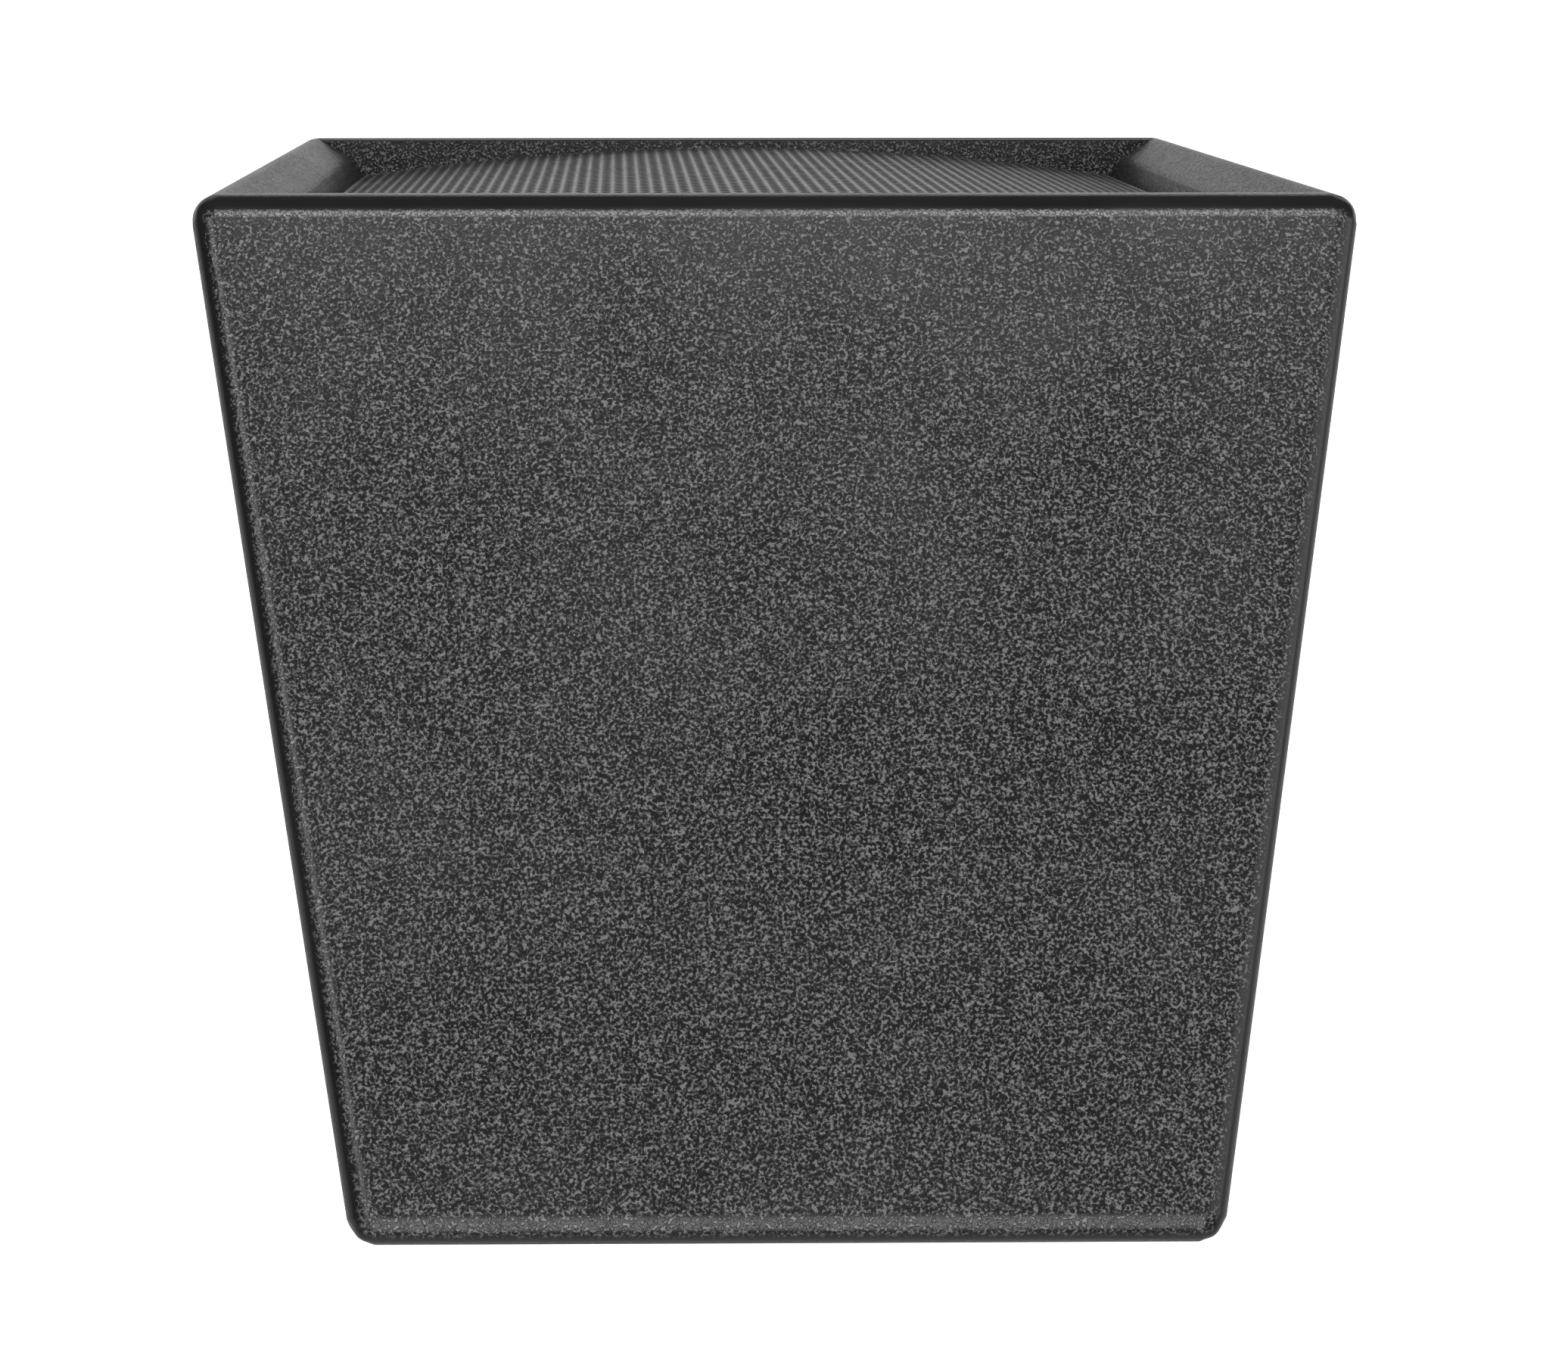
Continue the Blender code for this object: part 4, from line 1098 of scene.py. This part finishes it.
def winding():
    """Enamelled copper wire, wound in fine turns round the loudspeaker's axis."""
    made, tree, shader, where = new_material("copper_winding", 0.32, 1.0)
    turned = squared_to_cabinet(tree, where)
    inputs = {"Vector": turned, "Scale": 420.0, "Distortion": 0.3}
    turns = node(tree, "ShaderNodeTexWave", inputs, bands_direction="Z").outputs["Fac"]
    colour = blend_colours(tree, turns, (0.45, 0.17, 0.07), (0.85, 0.42, 0.22))
    tree.links.new(colour, shader.inputs["Base Color"])
    set_bump(tree, shader, turns, 0.0002, 0.8)
    return made


def dress_inner_nodes():
    """Better materials on the CAD pieces that keep their own shape."""
    basket = metal("cast_basket_paint", 0.07, 0.5, 0.6, scale=700)
    steel = metal("zinc_plate", 0.55, 0.30, 1.0, (1.0, 0.99, 0.95), 300)
    finishes = {
        plywood(): ["baffle_board"],
        basket: ["woofer_basket", "compression_driver_housing", "treble_rear_cap"],
        steel: ["woofer_pole_plate", "woofer_back_plate"],
        metal("ferrite_block", 0.05, 0.6, 0.0, scale=900): ["woofer_magnet"],
        fibrous("pressed_pulp", (0.010, 0.009, 0.008), (0.045, 0.042, 0.038), 420, 0.85, 0.0003): [
            "woofer_cone"
        ],
        fibrous("treated_cloth", (0.09, 0.05, 0.02), (0.24, 0.16, 0.08), 900, 0.8, 0.0003): ["cone_spider"],
        fibrous("epoxy_laminate", (0.02, 0.10, 0.04), (0.06, 0.20, 0.09), 300, 0.45, 0.0001): [
            "crossover_board"
        ],
        fibrous("wrapped_film", (0.30, 0.20, 0.05), (0.42, 0.30, 0.10), 200, 0.35, 0.0001): [
            "crossover_capacitor"
        ],
        winding(): ["voice_coil", "bass_inductor", "treble_inductor"],
        metal("titanium_foil", 0.5, 0.35, 1.0, scale=800): ["treble_diaphragm"],
        rubber("moulded_rubber"): ["cone_surround", "driver_gasket"],
        metal("black_steel_screws", 0.06, 0.4, 0.9): [f"driver_screw_{i + 1}" for i in range(8)],
        moulded_plastic("inner_mouldings", 0.016): [
            "treble_horn",
            "phase_plug",
            "reflex_port_left",
            "reflex_port_right",
            "switch_housing",
            "wire_loom",
        ],
    }
    for finish, names in finishes.items():
        for name in names:
            slots = NODES[name].material_slots
            for entry in slots:
                entry.material = finish
            if not slots:
                NODES[name].data.materials.append(finish)


# Studio

AIM = Vector((0, 0.05, 0.22))
FLOOR_RADIUS = 9.0
FLOOR_GLOW = 0.95  # seen by the camera alone, so that the floor meets the white backdrop
WORLD_LIGHT = 0.10
WORLD_SEEN = 1.0

# Camera: behind the monitor and above it, looking down on the back panel
CAMERA_PLACE = (0.05786, 1.31836, 0.08000)  # in the cabinet frame
CAMERA_YAW = radians(0.6059)
CAMERA_PITCH = radians(13.6275)  # below the rim plane
CAMERA_LENS = 69.98
CAMERA_SHIFT = (0.0856, 0.0190)


def seen_by_camera(tree):
    return tree.nodes.new("ShaderNodeLightPath").outputs["Is Camera Ray"]


def build_floor():
    bm = bmesh.new()
    bmesh.ops.create_circle(bm, cap_ends=True, segments=64, radius=FLOOR_RADIUS)
    bmesh.ops.translate(bm, verts=bm.verts, vec=(0, 0, -GAP))
    floor = as_object("studio_floor", mesh_of(bm))
    made, tree, shader, where = new_material("pale_floor", 0.9, specular=0.0)
    drift = noise(tree, where, 1.5, 2.0)
    tree.links.new(blend_colours(tree, drift, grey(0.31), grey(0.35)), shader.inputs["Base Color"])
    shader.inputs["Emission Color"].default_value = (1, 1, 1, 1)
    glow = maths(tree, "MULTIPLY", seen_by_camera(tree), FLOOR_GLOW)
    tree.links.new(glow, shader.inputs["Emission Strength"])
    floor.data.materials.append(made)


def soft_light(name, direction, distance, size, radiance):
    """A rectangular panel aimed at the object. Its first size runs up and down, its second across."""
    direction = Vector(direction).normalized()
    data = bpy.data.lights.new(name, "AREA")
    data.shape = "RECTANGLE"
    data.size, data.size_y = size
    data.energy = radiance * pi * size[0] * size[1]
    light = new_object(name, data)
    light.location = AIM + direction * distance
    light.rotation_mode = "QUATERNION"
    light.rotation_quaternion = direction.to_track_quat("Z", "X")


def build_lights():
    soft_light("overhead_panel", (0, -0.26, 0.97), 2.0, (0.70, 2.4), 12.0)
    soft_light("camera_side_panel", (0, 0.84, 0.54), 2.4, (1.75, 3.0), 4.6)
    soft_light("left_panel", (0.60, 0.16, 0.78), 2.0, (0.5, 1.6), 6.0)
    soft_light("right_panel", (-1.0, 0.10, 0.45), 2.4, (2.2, 2.2), 1.5)
    world = bpy.data.worlds.new("studio_world")
    bpy.context.scene.world = world
    world.use_nodes = True
    tree = world.node_tree
    background = tree.nodes["Background"]
    background.inputs["Color"].default_value = (1, 1, 1, 1)
    strength = remap(tree, seen_by_camera(tree), 0.0, 1.0, WORLD_LIGHT, WORLD_SEEN, "LINEAR")
    tree.links.new(strength, background.inputs["Strength"])
    bpy.context.scene.view_settings.view_transform = "Standard"


def build_camera():
    right = Vector((-cos(CAMERA_YAW), sin(CAMERA_YAW), 0))
    level = Vector((-sin(CAMERA_YAW), -cos(CAMERA_YAW), 0))
    ahead = level * cos(CAMERA_PITCH) - Vector((0, 0, sin(CAMERA_PITCH)))
    up = right.cross(ahead)
    axes = CABINET.to_3x3() @ Matrix((right, up, -ahead)).transposed()
    data = bpy.data.cameras.new("main_camera")
    data.lens = CAMERA_LENS
    data.shift_x, data.shift_y = CAMERA_SHIFT
    data.clip_end = 50
    camera = new_object("main_camera", data)
    camera.matrix_world = Matrix.Translation(CABINET @ Vector(CAMERA_PLACE)) @ axes.to_4x4()
    bpy.context.scene.camera = camera


def main():
    build_camera()
    build_shell()
    build_grille()
    build_foam()
    build_wadding()
    build_handles()
    build_plate()
    build_switch()
    build_screws()
    build_feet()
    dress_inner_nodes()
    build_floor()
    build_lights()


main()
